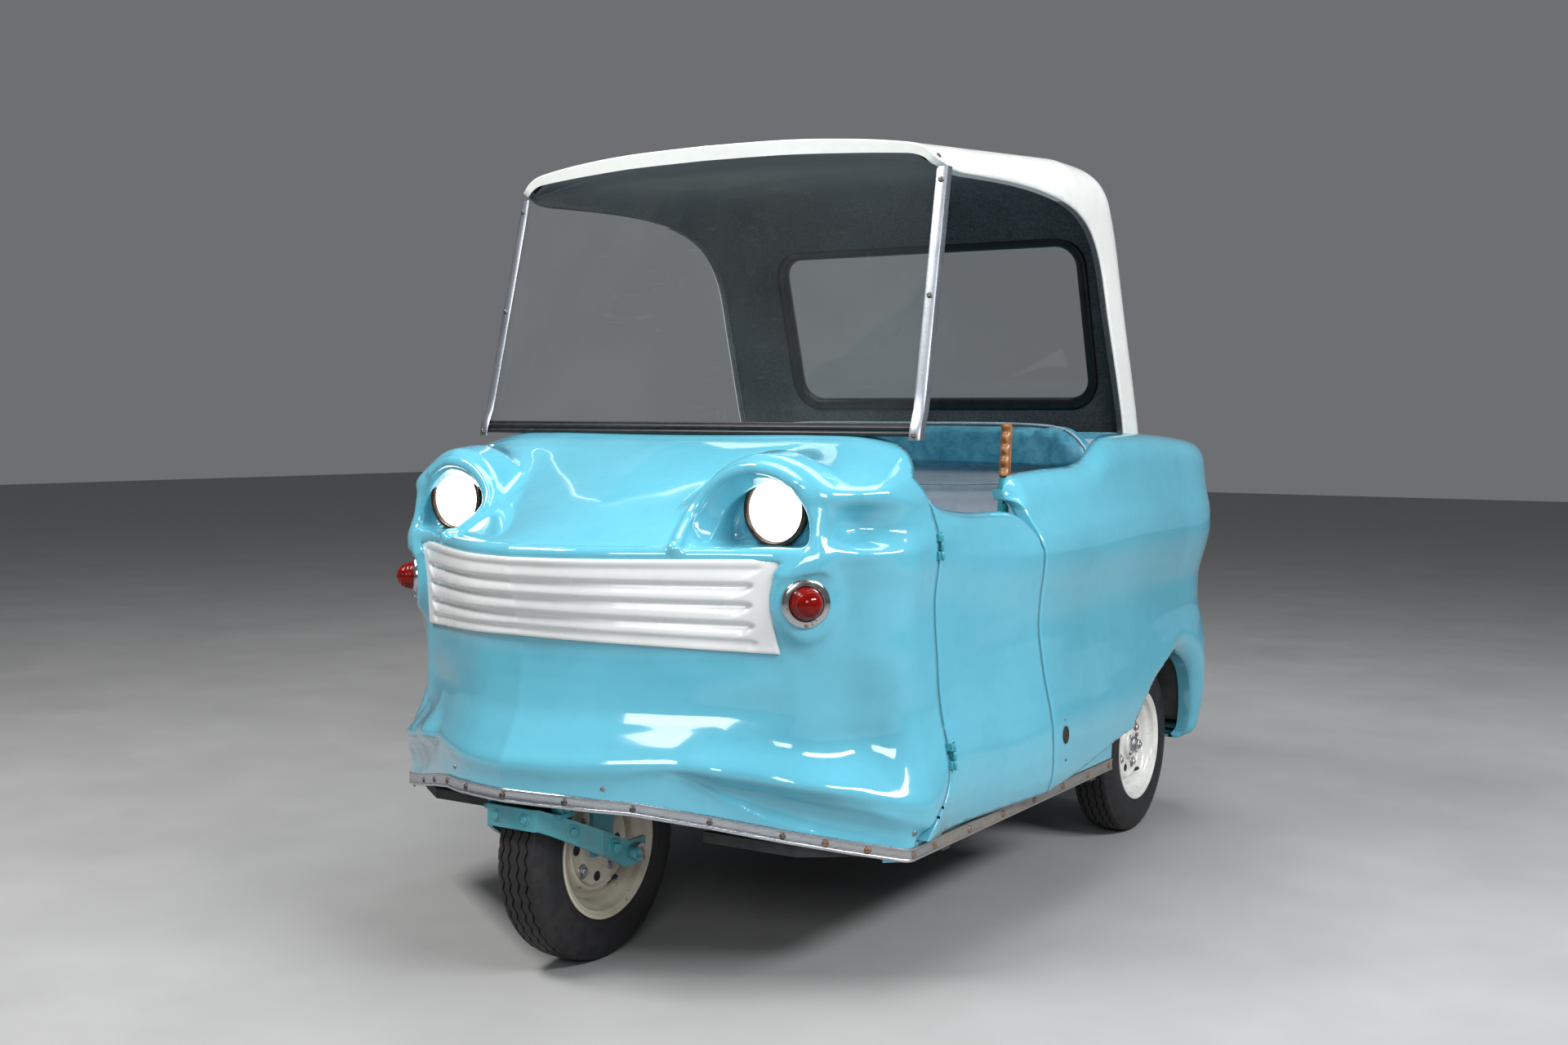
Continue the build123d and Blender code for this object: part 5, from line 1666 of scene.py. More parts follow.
def build_grille():
    nz, ns = 84, 300
    v = np.linspace(0, 1, nz)
    rows = []
    for k in range(nz):
        row = []
        us = np.linspace(-1, 1, ns)
        # finer towards the ends
        us = np.sign(us) * (1 - (1 - np.abs(us)) ** 1.15)
        for u in us:
            zl = grille_low(u * .385)
            z = zl + (.7165 - zl) * v[k]
            se = float(np.interp(z, GR_Z, GR_S))
            row.append((u * se, z, zl))
        rows.append(row)
    A = np.array(rows)
    S, Z, ZL = A[..., 0], A[..., 1], A[..., 2]
    t = nose_wall(np.abs(S), Z)
    ends = sstep(0, .030, np.interp(Z, GR_Z, GR_S) - np.abs(S))
    frac = (Z - ZL) / (.7165 - ZL)
    lift = np.full(S.shape, .0080)
    for gz, dep in GROOVES:
        zz = ZL + (gz - .560) / (.7165 - .560) * (.7165 - ZL)
        reach = np.interp(Z, GR_Z, GR_S) - .022
        end = sstep(0, .016, reach - np.abs(S) - 60 * (Z - zz) ** 2)
        # steep upper flank, long lower flank
        d = (Z - zz)
        prof = np.where(d > 0, np.exp(-(d / .0048) ** 2), np.exp(-(np.abs(d) / .0120) ** 1.6))
        lift -= dep * prof * end
    lift += .0030 * np.sin(np.clip(frac, 0, 1) * math.pi)
    # rounded outer edge
    ed = np.minimum(np.minimum((1 - np.abs(S) / np.interp(Z, GR_Z, GR_S)) * .385, (Z - ZL)), (.7165 - Z))
    lift -= .0016 * (1 - sstep(0, .004, ed))
    P = np.empty(S.shape + (3,))
    q = xy(S.ravel(), (t + lift).ravel()).reshape(S.shape + (2,))
    P[..., :2], P[..., 2] = q, Z
    F = grid_faces(nz, ns)
    V = P.reshape(-1, 3)
    o = fast_mesh("grille", V, np.array(F))
    # edge turned back to the body
    def mv(co, k):
        return Vector((-co.x * .12, .0095, 0)) if abs(co.x) < .36 else Vector((-.004 * np.sign(co.x), .0085, 0))
    edge_flange(o, lambda co: True, mv, steps=(0,))
    return o


# ----------------------------------------------------------------------------
# trim strip along the lower edge
# ----------------------------------------------------------------------------
def skirt_point(s, z, lift):
    t = float(skirt_t(np.array([abs(s)]))[0]) + lift
    q = xy(np.array([float(s)]), np.array([t]))[0]
    return np.array([q[0], q[1], z])


def strip_samples():
    ss = list(np.linspace(0, .40, 46)) + list(np.linspace(.40, S_CF, 60)[1:]) + list(
        np.arange(S_CF + .02, s_of_y(.250), .02)) + [s_of_y(.2535)]
    return [-q for q in ss[::-1][:-1]] + ss


def build_strip():
    # section up the strip: (height, lift), the two edges stand proud of the flat middle
    sec = [(.0, .0006), (.0, .0030), (.0008, .0040), (.0040, .0042), (.0052, .0034), (.0060, .0031), (.0172, .0031),
           (.0180, .0034), (.0192, .0042), (.0222, .0040), (.0230, .0030), (.0230, .0006)]
    rows = []
    for s in strip_samples():
        p0 = skirt_point(s, 0, 0)
        z0 = float(skirt_z(np.array([p0[0]]))[0])
        e = .004
        a, b = skirt_point(s - e, 0, 0), skirt_point(s + e, 0, 0)
        d = (b - a)[:2]
        n = np.array([d[1], -d[0]]) / np.linalg.norm(d)
        if n @ (p0[:2] - np.array([0, -.2])) < 0:
            n = -n
        rows.append([(p0[0] + n[0] * l, p0[1] + n[1] * l, z0 + hgt) for hgt, l in sec])
    G = np.array(rows)
    o = grid_obj("trim_strip", G, closed_cols=True)
    cap_fill(o)
    smooth_by_angle(o, 30)
    return o


def build_sill_plates():
    """flat blue sills under the doors, behind the strip"""
    out = []
    for sd in (1, -1):
        pts = []
        for s in [S_CF - .10, S_CF - .06, S_CF - .03, S_CF, S_CF + .02] + list(np.linspace(s_of_y(-.56), s_of_y(.2535), 24)):
            pts.append(s)
        rows = []
        for s in pts:
            a = skirt_point(s, 0, -.0005)
            b = skirt_point(s, 0, -.0040)
            top = np.interp(a[1], [-.66, -.16, -.155, .0, .12, .25], [.2425, .2425, .2450, .256, .270, .288])
            rows.append([(a[0] * sd, a[1], .2160), (a[0] * sd, a[1], top - .001), (a[0] * sd - .001 * sd, a[1], top),
                         (b[0] * sd, b[1], top), (b[0] * sd, b[1], .2160)])
        o = grid_obj("sill_%d" % sd, np.array(rows), closed_cols=True)
        cap_fill(o)
        smooth_by_angle(o, 30)
        out.append(o)
    return join(out, "sill_plates")


# ----------------------------------------------------------------------------
# lamps
# ----------------------------------------------------------------------------
LAMP = (.352, -.734, .793)


def build_headlamp(side):
    """dark bowl and rim, and the lit glass in front of it"""
    o = (LAMP[0] * side, 0, LAMP[2])
    can = lathe("can", [(-.700, .030), (-.700, .050), (-.702, .056), (-.712, .0590), (-.728, .0603), (-.7335, .0606)], o, "y", 96)
    can.data.materials.append(MAT["body_blue"])
    bowl = lathe("bowl", [(-.7325, .0600), (-.7335, .0612), (-.7380, .0616),
                          (-.743, .0608), (-.7455, .0590), (-.7462, .0568), (-.7455, .0545), (-.7435, .0528),
                          (-.7405, .0522), (-.7370, .0522)], o, "y", 96)
    bowl.data.materials.append(MAT["lamp_rim"])
    rim = join([can, bowl], "headlamp_rim_%s" % ("l" if side > 0 else "r"))
    # glass: shallow dome with moulded flutes
    R, S = 34, 120
    rows = []
    for i in range(R + 1):
        r = .0526 * i / R
        row = []
        for j in range(S):
            a = 2 * math.pi * j / S
            x, z = r * math.cos(a), r * math.sin(a)
            dome = .0075 * (1 - (r / .0526) ** 2)
            flute = .00028 * math.cos(x / .0042 * 2 * math.pi) * sstep(0, .010, .050 - r)
            row.append((o[0] + x, -.7392 - dome - float(flute), o[2] + z))
        rows.append(row)
    rows.append([(q[0], -.7340, q[2]) for q in rows[-1]])
    g = grid_obj("headlamp_glass_%s" % ("l" if side > 0 else "r"), np.array(rows), closed_cols=True, flip=True)
    weld(g, 1e-6)
    # two spring clips and a screw at the bottom of the rim
    clips = []
    for a in (-100, 20, 150):
        c = math.radians(a)
        p = (o[0] + .0600 * math.cos(c), -.7440, o[2] + .0600 * math.sin(c))
        clips.append(screw_head("clip", p, (.2 * math.cos(c), -1, .2 * math.sin(c)), .0028, True, .0014))
    cl = join(clips, "headlamp_screws_%s" % ("l" if side > 0 else "r"))
    return rim, g, cl


TURN = (.427, -.767, .646)


def build_turn(side):
    n = np.array([side * math.sqrt(.5), -math.sqrt(.5), 0])
    o = np.array([TURN[0] * side, TURN[1], TURN[2]])
    tag = "l" if side > 0 else "r"
    bez = disc_profile("turn_bezel_" + tag, [(-.010, .0405), (.0015, .0412), (.0040, .0410), (.0062, .0396), (.0074, .0370),
                                             (.0082, .0330), (.0088, .0300), (.0086, .0288), (.0060, .0284), (-.002, .0284)],
                       (0, 0, 0), (0, 0, 1), 72)
    orient(bez, n, o)
    lens = disc_profile("turn_lens_" + tag, [(.000, .0278), (.0086, .0278), (.0098, .0274), (.0108, .0262), (.0150, .0256),
                                             (.0158, .0262), (.0168, .0254), (.0212, .0238), (.0220, .0243), (.0230, .0232),
                                             (.0272, .0205), (.0280, .0209), (.0290, .0196), (.0325, .0160), (.0352, .0118),
                                             (.0368, .0072), (.0376, .0030), (.0378, 0)], (0, 0, 0), (0, 0, 1), 72)
    orient(lens, n, o)
    sc = []
    for dz in (.0355, -.0355):
        sc.append(screw_head("s", o + n * .0074 + np.array([0, 0, dz]), n, .0036, True, .0016))
    return bez, lens, join(sc, "turn_screws_" + tag)


def build_tail_lamp(side):
    tag = "l" if side > 0 else "r"
    s = S_CB + (XR - .345)
    t = float(wall(np.array([s]), np.array([.640]))[0])
    o = np.array([.345 * side, YB + t - .004, .640])
    n = (.12 * side, .99, 0)
    bez = disc_profile("tail_bezel_" + tag, [(-.010, .0400), (.0045, .0405), (.0070, .0398), (.0088, .0375), (.0094, .0345),
                                             (.0088, .0325), (.0060, .0318), (-.002, .0318)], (0, 0, 0), (0, 0, 1), 64)
    orient(bez, n, o)
    lens = disc_profile("tail_lens_" + tag, [(0, .0312), (.0070, .0312), (.0080, .0308), (.0088, .0298), (.0120, .0285),
                                             (.0128, .0290), (.0136, .0280), (.0160, .0245), (.0178, .0190), (.0188, .0120),
                                             (.0192, .0050), (.0193, 0)], (0, 0, 0), (0, 0, 1), 64)
    orient(lens, n, o)
    return bez, lens


# ----------------------------------------------------------------------------
# windscreen surround
# ----------------------------------------------------------------------------
def glass_edge(z):
    t = (z - .920) / .488
    return -.499 + .115 * t, -.535 + .111 * t


def plan_arc(w, ye, ym, n=61, ext=0.0):
    """points of the level arc through (-w, ye), (0, ym), (w, ye)"""
    sag = ye - ym
    R = (w * w + sag * sag) / (2 * sag)
    a = math.asin(w / R) * (1 + ext)
    th = np.linspace(-a, a, n)
    return np.stack([R * np.sin(th), ym + R - R * np.cos(th)], 1)


def build_seal():
    e, m = glass_edge(.926)
    A = plan_arc(.4945, e - .007, m - .007, 81)
    A[:, 1] += 0
    # section looking along the seal: (out, up) with the two black lips of the extrusion
    sec = [(.0, -.0118), (.0035, -.0122), (.0065, -.0108), (.0075, -.0082), (.0070, -.0052), (.0050, -.0036),
           (.0030, -.0026), (.0048, -.0012), (.0062, .0008), (.0064, .0035), (.0050, .0055), (.0026, .0066),
           (.0014, .0078), (.0024, .0092), (.0018, .0108), (-.0010, .0117), (-.0050, .0117), (-.0085, .0105),
           (-.0105, .0080), (-.0110, .0), (-.0110, -.0105), (-.0080, -.0118)]
    rows = []
    for i, (x, y) in enumerate(A):
        a, b = A[max(i - 1, 0)], A[min(i + 1, len(A) - 1)]
        d = (b - a) / np.linalg.norm(b - a)
        n = np.array([d[1], -d[0]])
        rows.append([(x + n[0] * (q - .002), y + n[1] * (q - .002) + .0035, .9262 + u) for q, u in sec])
    o = grid_obj("windscreen_seal", np.array(rows), closed_cols=True)
    cap_fill(o)
    return o


def build_posts():
    """aluminium strips over the screen's two sides, three screws in each"""
    strips, screws = [], []
    for sd in (1, -1):
        rows = []
        zs = [.908, .912, .918, .928, .938, .948, .960] + list(np.linspace(.99, 1.375, 22)) + [1.384, 1.390]
        for z in zs:
            e, m = glass_edge(z)
            k = .4955 - (max(z, .938) - .938) / .502 * .013
            lift = np.interp(z, [.898, .914, .930, .945, .965], [.0085, .0115, .0115, .0085, .0044])
            y = e - lift
            # section: outer strip face with rolled edges and a leg turned back at the side
            sec = [(k - .0165, y + .0022), (k - .0170, y + .0010), (k - .0163, y - .0006), (k - .0140, y - .0016),
                   (k - .0110, y - .0021), (k - .0040, y - .0021), (k + .0010, y - .0016), (k + .0036, y - .0002),
                   (k + .0044, y + .0030), (k + .0044, y + .0160), (k + .0032, y + .0160), (k + .0030, y + .0040),
                   (k + .0015, y + .0012), (k - .0040, y + .0002), (k - .0140, y + .0004)]
            # the strip follows the screen's curve towards the middle
            rows.append([(q * sd, w - .16 * max(k - q, 0), z) for q, w in sec])
        o = grid_obj("post", np.array(rows), closed_cols=True)
        cap_fill(o)
        smooth_by_angle(o, 40)
        strips.append(o)
        for z in (.9165, 1.160, 1.366):
            e, m = glass_edge(z)
            k = .4955 - (max(z, .938) - .938) / .502 * .013
            lift = np.interp(z, [.898, .914, .930, .945, .965], [.0085, .0115, .0115, .0085, .0044])
            screws.append(screw_head("ps", ((k - .0065) * sd, e - lift - .0036, z), (.16 * sd * 0, -1, .23), .0052, True, .0026))
    return join(strips, "screen_posts"), join(screws, "screen_post_screws")


def build_gasket():
    zc = 1.1655
    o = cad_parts["rear_window_gasket"]
    co = np.array([v.co for v in o.data.vertices])
    # leaning plane through the CAD ring: y = a + b (z - zc)
    A = np.stack([np.ones(len(co)), co[:, 2] - zc], 1)
    (a, b), *_ = np.linalg.lstsq(A, co[:, 1], rcond=None)
    k = math.sqrt(1 + b * b)
    nrm = np.array([0, 1 / k, -b / k])          # outwards, to the back
    upv = np.array([0, b / k, 1 / k])
    H = .381 / math.cos(math.radians(17)) / 2
    line = rounded_outline(.3935, H - .0085, .062, 14)
    ring = []
    for x, w in line:
        ring.append(np.array([x, a, zc]) + upv * w)
    P = np.array(ring)
    n = len(P)
    # section: (towards the middle of the window, through the wall)
    sec = [(-.0105, -.0105), (-.0050, -.0128), (.0020, -.0130), (.0080, -.0112), (.0118, -.0070), (.0128, -.0032),
           (.0128, .0032), (.0118, .0070), (.0080, .0112), (.0020, .0130), (-.0050, .0128), (-.0105, .0105),
           (-.0100, .0070), (-.0060, .0060), (-.0050, 0), (-.0060, -.0060), (-.0100, -.0070)]
    rows = []
    for i in range(n):
        d = P[(i + 1) % n] - P[(i - 1) % n]
        d /= np.linalg.norm(d)
        inn = np.cross(nrm, d)
        inn /= np.linalg.norm(inn)
        if inn @ (np.array([0, a, zc]) - P[i]) < 0:
            inn = -inn
        rows.append([P[i] + inn * (q * 1.12 + .001) + nrm * w for q, w in sec])
    o = grid_obj("rear_window_seal", np.array(rows), closed_rows=True, closed_cols=True)
    weld(o, 1e-7)
    return o


# ----------------------------------------------------------------------------
# wheels
# ----------------------------------------------------------------------------
FW = (0, -.789, .200)
RW = (.440, .627, .200)


def build_tyre(name, c):
    """ribbed tyre: four zigzag grooves round a flat crown, plain walls with bead and rub lines"""
    zig = 44
    per = 10
    n = zig * per
    ang = np.linspace(0, 2 * math.pi, n, endpoint=False)
    tri = np.abs(((ang * zig / (2 * math.pi)) % 1) * 2 - 1) * 2 - 1
    cols = []           # (x, r, zigzag share)
    crown = lambda x: .1998 - .0028 * (x / .036) ** 2 - .0012 * (x / .036) ** 4
    half = [0, .0035, .0062, .0070, .0082, .0098, .0110, .0118, .0150, .0185, .0222, .0230, .0242, .0258, .0270, .0278,
            .0310, .0345]
    dep = [0, 0, 0, .0, .0052, .0052, 0, 0, 0, 0, 0, 0, .0050, .0050, 0, 0, 0, 0]
    zz = [.3, .6, 1, 1, 1, 1, 1, 1, .8, .8, 1, 1, 1, 1, 1, 1, .4, .0]
    for x, d, w in zip(half, dep, zz):
        cols.append((x, crown(x) - d, w))
    wallp = [(.0372, .1948, 0), (.0384, .1925, 0), (.0392, .1895, .0), (.0412, .1870, 0), (.0440, .1800, 0), (.0462, .1720, 0),
             (.0470, .1705, 0), (.0474, .1690, 0), (.0484, .1640, 0), (.0492, .1560, 0), (.0495, .1480, 0), (.0490, .1405, 0),
             (.0494, .1395, 0), (.0490, .1384, 0), (.0476, .1330, 0), (.0452, .1285, 0), (.0430, .1262, 0), (.0420, .1235, 0),
             (.0405, .1200, 0), (.0380, .1180, 0), (.030, .1150, 0)]
    prof = [(-x, r, w) for x, r, w in (cols + wallp)[::-1]][:-1] + (cols + wallp)
    A = np.array(prof)
    x = A[:, 0][:, None] + A[:, 2][:, None] * .0026 * tri[None, :]
    # small lugs on the shoulders
    r = np.repeat(A[:, 1][:, None], n, 1)
    sh = (np.abs(A[:, 0]) > .0368) & (np.abs(A[:, 0]) < .0415)
    notch = (np.arange(n) % per) < 3
    r[np.ix_(sh, notch)] -= .0016
    P = np.stack([x + c[0], c[1] + r * np.sin(ang)[None, :], c[2] + r * np.cos(ang)[None, :]], -1)
    o = grid_obj(name, P, closed_cols=True)
    bm = bmesh.new()
    bm.from_mesh(o.data)
    bmesh.ops.recalc_face_normals(bm, faces=bm.faces)
    bm.to_mesh(o.data)
    bm.free()
    smooth_by_angle(o, 38)
    return o


def build_rim(name, c, side, hub):
    """pressed steel wheel: rolled flange, drop centre, dished disc with a raised ring and bolt holes"""
    s = side
    prof = [(-.0440, .1165), (-.0452, .1205), (-.0462, .1238), (-.0448, .1252), (-.0425, .1240), (-.0415, .1200),
            (-.0395, .1172), (-.0330, .1160), (-.0200, .1130), (-.0120, .1000), (.0080, .0990), (.0180, .1110),
            (.0330, .1158), (.0395, .1172)]
    face = [(.0415, .1200), (.0425, .1240), (.0440, .1256), (.0462, .1254), (.0472, .1238), (.0468, .1212), (.0452, .1188),
            (.0432, .1170), (.0424, .1150), (.0416, .1125), (.0380, .1105), (.0330, .1090), (.0300, .1066), (.0275, .1025),
            (.0235, .0985), (.0165, .0962), (.0110, .0950), (.0070, .0935), (.0058, .0910), (.0062, .0880), (.0090, .0850),
            (.0150, .0815), (.0195, .0790), (.0225, .0765), (.0232, .0745), (.0222, .0725), (.0198, .0705), (.0182, .0690),
            (.0178, .0670), (.0178, .0480), (.0182, .0460), (.0196, .0440), (.0205, .0415), (.0205, .0300), (.0200, .0290)]
    if hub:
        face += [(.0195, .0150)]
    else:
        face += [(.0205, .0262), (.0235, .0250), (.0300, .0244), (.0320, .0232), (.0322, .0100)]
    back = [(.0, .0100), (-.0100, .0200), (-.0100, .0300), (.0120, .0320), (.0150, .0450), (.0150, .0680), (.0190, .0740),
            (.0060, .0850), (.0, .0940), (-.0100, .0965), (-.0200, .1080), (-.0330, .1110), (-.0400, .1125), (-.0440, .1165)]
    A = np.array(prof + face + back)
    segs = 96
    ang = np.linspace(0, 2 * math.pi, segs, endpoint=False)
    r = A[:, 1][:, None]
    P = np.stack([np.repeat(c[0] + s * A[:, 0][:, None], segs, 1), c[1] + r * np.sin(ang), c[2] + r * np.cos(ang)], -1)
    o = grid_obj(name, P, closed_cols=True, closed_rows=True)
    bm = bmesh.new()
    bm.from_mesh(o.data)
    bmesh.ops.recalc_face_normals(bm, faces=bm.faces)
    bm.to_mesh(o.data)
    bm.free()
    smooth_by_angle(o, 42)
    bolts = []
    d = (s, 0, 0)
    for k in range(4):
        a = math.radians(45 + 90 * k + (12 if hub else 0))
        p = (c[0] + s * .0178, c[1] + .0565 * math.sin(a), c[2] + .0565 * math.cos(a))
        bolts.append(hex_bolt("b", p, d, .0135, .0075))
    bt = join(bolts, name + "_bolts")
    # holes in the disc: a raised lip round a flat dark disc, painted shade standing in for each hole
    hole_shade_discs = []
    for k in range(4):
        a = math.radians(0 + 90 * k + (12 if hub else 0))
        p = (c[0] + s * .0180, c[1] + .0565 * math.sin(a), c[2] + .0565 * math.cos(a))
        hole_shade_discs.append(disc_profile("h", [(.0, 0), (.0, .0058), (.0006, .0064), (.0010, .0080), (.0002, .0090), (-.002, .0092)],
                                  p, d, 24))
    hl = join(hole_shade_discs, name + "_holes")
    # valve stem
    a = math.radians(150)
    p = (c[0] + s * .0060, c[1] + .0895 * math.sin(a), c[2] + .0895 * math.cos(a))
    vs = disc_profile(name + "_valve", [(-.004, 0), (-.004, .0042), (.004, .0040), (.006, .0032), (.020, .0030), (.021, .0040),
                                        (.030, .0040), (.0315, .0030), (.0315, 0)], p,
                      (s * .82, -.55 * math.sin(a), -.55 * math.cos(a)), 20)
    return o, bt, hl, vs


def coil_spring(name, a, b, r, wire, turns, body_segs=16):
    a, b = np.array(a, float), np.array(b, float)
    ax = (b - a)
    L = np.linalg.norm(ax)
    ax /= L
    u = np.cross(ax, (1, 0, 0))
    u /= np.linalg.norm(u)
    v = np.cross(ax, u)
    n = int(turns * body_segs)
    path = []
    for i in range(n + 1):
        f = i / n
        # closed end coils
        g = f + .028 * math.sin(2 * math.pi * f) * 1.2
        h = np.interp(f, [0, .10, .90, 1], [0, .045, .955, 1])
        th = 2 * math.pi * turns * f
        path.append(a + ax * (wire + h * (L - 2 * wire)) + (u * math.cos(th) + v * math.sin(th)) * r)
    sec = [(wire * math.cos(q), wire * math.sin(q)) for q in np.linspace(0, 2 * math.pi, 9)[:-1]]
    return sweep(name, path, sec, up=ax)


# ----------------------------------------------------------------------------
# stuffed pieces
# ----------------------------------------------------------------------------
def slab(name, outline, lo, hi, place):
    """closed slab between two levels of a plan outline; place maps (a, b, h) to a point"""
    n = len(outline)
    V = [place(a, b, lo) for a, b in outline] + [place(a, b, hi) for a, b in outline]
    F = [tuple(range(n))[::-1], tuple(range(n, 2 * n))]
    F += [(i, (i + 1) % n, n + (i + 1) % n, n + i) for i in range(n)]
    o = mesh_obj(name, V, F)
    bm = bmesh.new()
    bm.from_mesh(o.data)
    bmesh.ops.recalc_face_normals(bm, faces=bm.faces)
    bm.to_mesh(o.data)
    bm.free()
    return o


def stuff(obj, voxel, cap, pressure=4.0, frames=20, pins=None):
    """voxel skin, then inflated by cloth pressure and capped"""
    dg = bpy.context.evaluated_depsgraph_get()
    m = obj.modifiers.new("r", "REMESH")
    m.mode = "VOXEL"
    m.voxel_size = voxel
    dg.update()
    me = bpy.data.meshes.new_from_object(obj.evaluated_get(dg), depsgraph=dg)
    obj.modifiers.clear()
    old = obj.data
    obj.data = me
    bpy.data.meshes.remove(old)
    base = np.array([v.co for v in me.vertices])
    c = obj.modifiers.new("c", "CLOTH")
    c.settings.quality = 5
    c.settings.use_pressure = True
    c.settings.uniform_pressure_force = pressure
    c.settings.effector_weights.gravity = 0
    c.settings.tension_stiffness = 18
    c.settings.compression_stiffness = 18
    c.settings.shear_stiffness = 6
    c.settings.bending_stiffness = .6
    c.collision_settings.use_collision = False
    c.point_cache.frame_start = 1
    c.point_cache.frame_end = frames
    for f in range(1, frames + 1):
        bpy.context.scene.frame_set(f)
    dg = bpy.context.evaluated_depsgraph_get()
    ev = obj.evaluated_get(dg)
    new = np.array([v.co for v in ev.data.vertices])
    obj.modifiers.clear()
    bpy.context.scene.frame_set(1)
    d = new - base
    ln = np.linalg.norm(d, axis=1)[:, None]
    d *= np.minimum(1, cap / np.maximum(ln, 1e-9))
    base = base + d
    obj.data.vertices.foreach_set("co", base.astype(np.float32).ravel())
    obj.data.update()
    obj.data.polygons.foreach_set("use_smooth", [True] * len(obj.data.polygons))
    return obj


def relax(obj, n=3, f=.5):
    m = obj.modifiers.new("s", "SMOOTH")
    m.factor = f
    m.iterations = n
    dg = bpy.context.evaluated_depsgraph_get()
    dg.update()
    me = bpy.data.meshes.new_from_object(obj.evaluated_get(dg), depsgraph=dg)
    obj.modifiers.clear()
    old = obj.data
    obj.data = me
    bpy.data.meshes.remove(old)
    return obj


def move_verts(obj, fun):
    co = np.array([v.co for v in obj.data.vertices])
    co = fun(co)
    obj.data.vertices.foreach_set("co", np.asarray(co, np.float32).ravel())
    obj.data.update()


def tube(name, pts, r, closed=False, segs=8, up=(0, 0, 1)):
    sec = [(r * math.cos(q), r * math.sin(q)) for q in np.linspace(0, 2 * math.pi, segs + 1)[:-1]]
    return sweep(name, pts, sec, closed=closed, up=up)


BACK_LINE = [(-.448, .825), (.448, .825), (.448, .872), (.440, .893), (.422, .914), (.398, .929), (.368, .938), (.30, .944),
             (0, .946), (-.30, .944), (-.368, .938), (-.398, .929), (-.422, .914), (-.440, .893), (-.448, .872)]


def build_backrest():
    line = smooth_line([BACK_LINE[0], BACK_LINE[1]], 1, True)
    o = slab("backrest", BACK_LINE, .391, .426, lambda a, b, h: (a, h, b))
    stuff(o, .0052, .013, 4.0)
    # flat where it rests on the panel, the front face pushed forward inside its edges
    def f(co):
        co[:, 1] = np.minimum(co[:, 1], .4290)
        front = sstep(.405, .385, co[:, 1])
        edge = np.clip((.457 - np.abs(co[:, 0])) / .06, 0, 1) * np.clip((.957 - co[:, 2]) / .05, 0, 1) * np.clip(
            (co[:, 2] - .812) / .05, 0, 1)
        co[:, 1] -= .0045 * front * np.sqrt(np.maximum(edge, 0))
        return co
    move_verts(o, f)
    relax(o, 2, .4)
    # piping round the face
    pts = []
    W = [(-.442, .834), (.442, .834), (.442, .868), (.436, .884), (.420, .905), (.396, .921), (.366, .930), (.30, .936),
         (0, .938), (-.30, .936), (-.366, .930), (-.396, .921), (-.420, .905), (-.436, .884), (-.442, .868)]
    P = np.array([(x, .3795, z) for x, z in smooth_line(W, 8, True)])
    q = project_y(o, P[:, [0, 2]], -1)
    P[:, 1] = q - .0012
    wl = tube("backrest_piping", P, .0030, closed=True, up=(0, -1, 0))
    return o, wl


def project_y(obj, xz, sign):
    """y of the surface of obj at (x, z), looking from -y (sign -1) or +y"""
    from mathutils.bvhtree import BVHTree
    dg = bpy.context.evaluated_depsgraph_get()
    me = obj.data
    bvh = BVHTree.FromPolygons([v.co for v in me.vertices], [p.vertices for p in me.polygons])
    out = []
    last = None
    for x, z in xz:
        h = bvh.ray_cast(Vector((x, 10 * sign, z)), Vector((0, -sign, 0)))
        y = h[0].y if h[0] is not None else (last if last is not None else 0)
        last = y
        out.append(y)
    return np.array(out)


def build_seat_cushion():
    line = rounded_outline(.392, .214, .035, 6)
    o = slab("seat_cushion_pad", line, .572, .655, lambda a, b, h: (a, b + .1725, h))
    stuff(o, .0060, .024, 4.0)
    def f(co):
        co[:, 2] = np.maximum(co[:, 2], .5615)
        top = sstep(.62, .65, co[:, 2])
        # three sewn channels across the width
        for y in (.02, .125, .23, .335):
            co[:, 2] -= .0055 * top * np.exp(-((co[:, 1] - y) / .006) ** 2)
        return co
    move_verts(o, f)
    relax(o, 2, .4)
    pts = []
    W = rounded_outline(.398, .219, .04, 10)
    P = np.array([(x, y + .1725, .634) for x, y in W])
    from mathutils.bvhtree import BVHTree
    bvh = BVHTree.FromPolygons([v.co for v in o.data.vertices], [p.vertices for p in o.data.polygons])
    for i in range(len(P)):
        c = Vector((0, .1725, .634))
        d = (Vector(P[i]) - c)
        h = bvh.ray_cast(c + d * 2, -d.normalized())
        if h[0] is not None:
            P[i] = h[0] + d.normalized() * .0008
    pp = tube("seat_piping", P, .0034, closed=True, up=(0, 0, 1))
    return o, pp


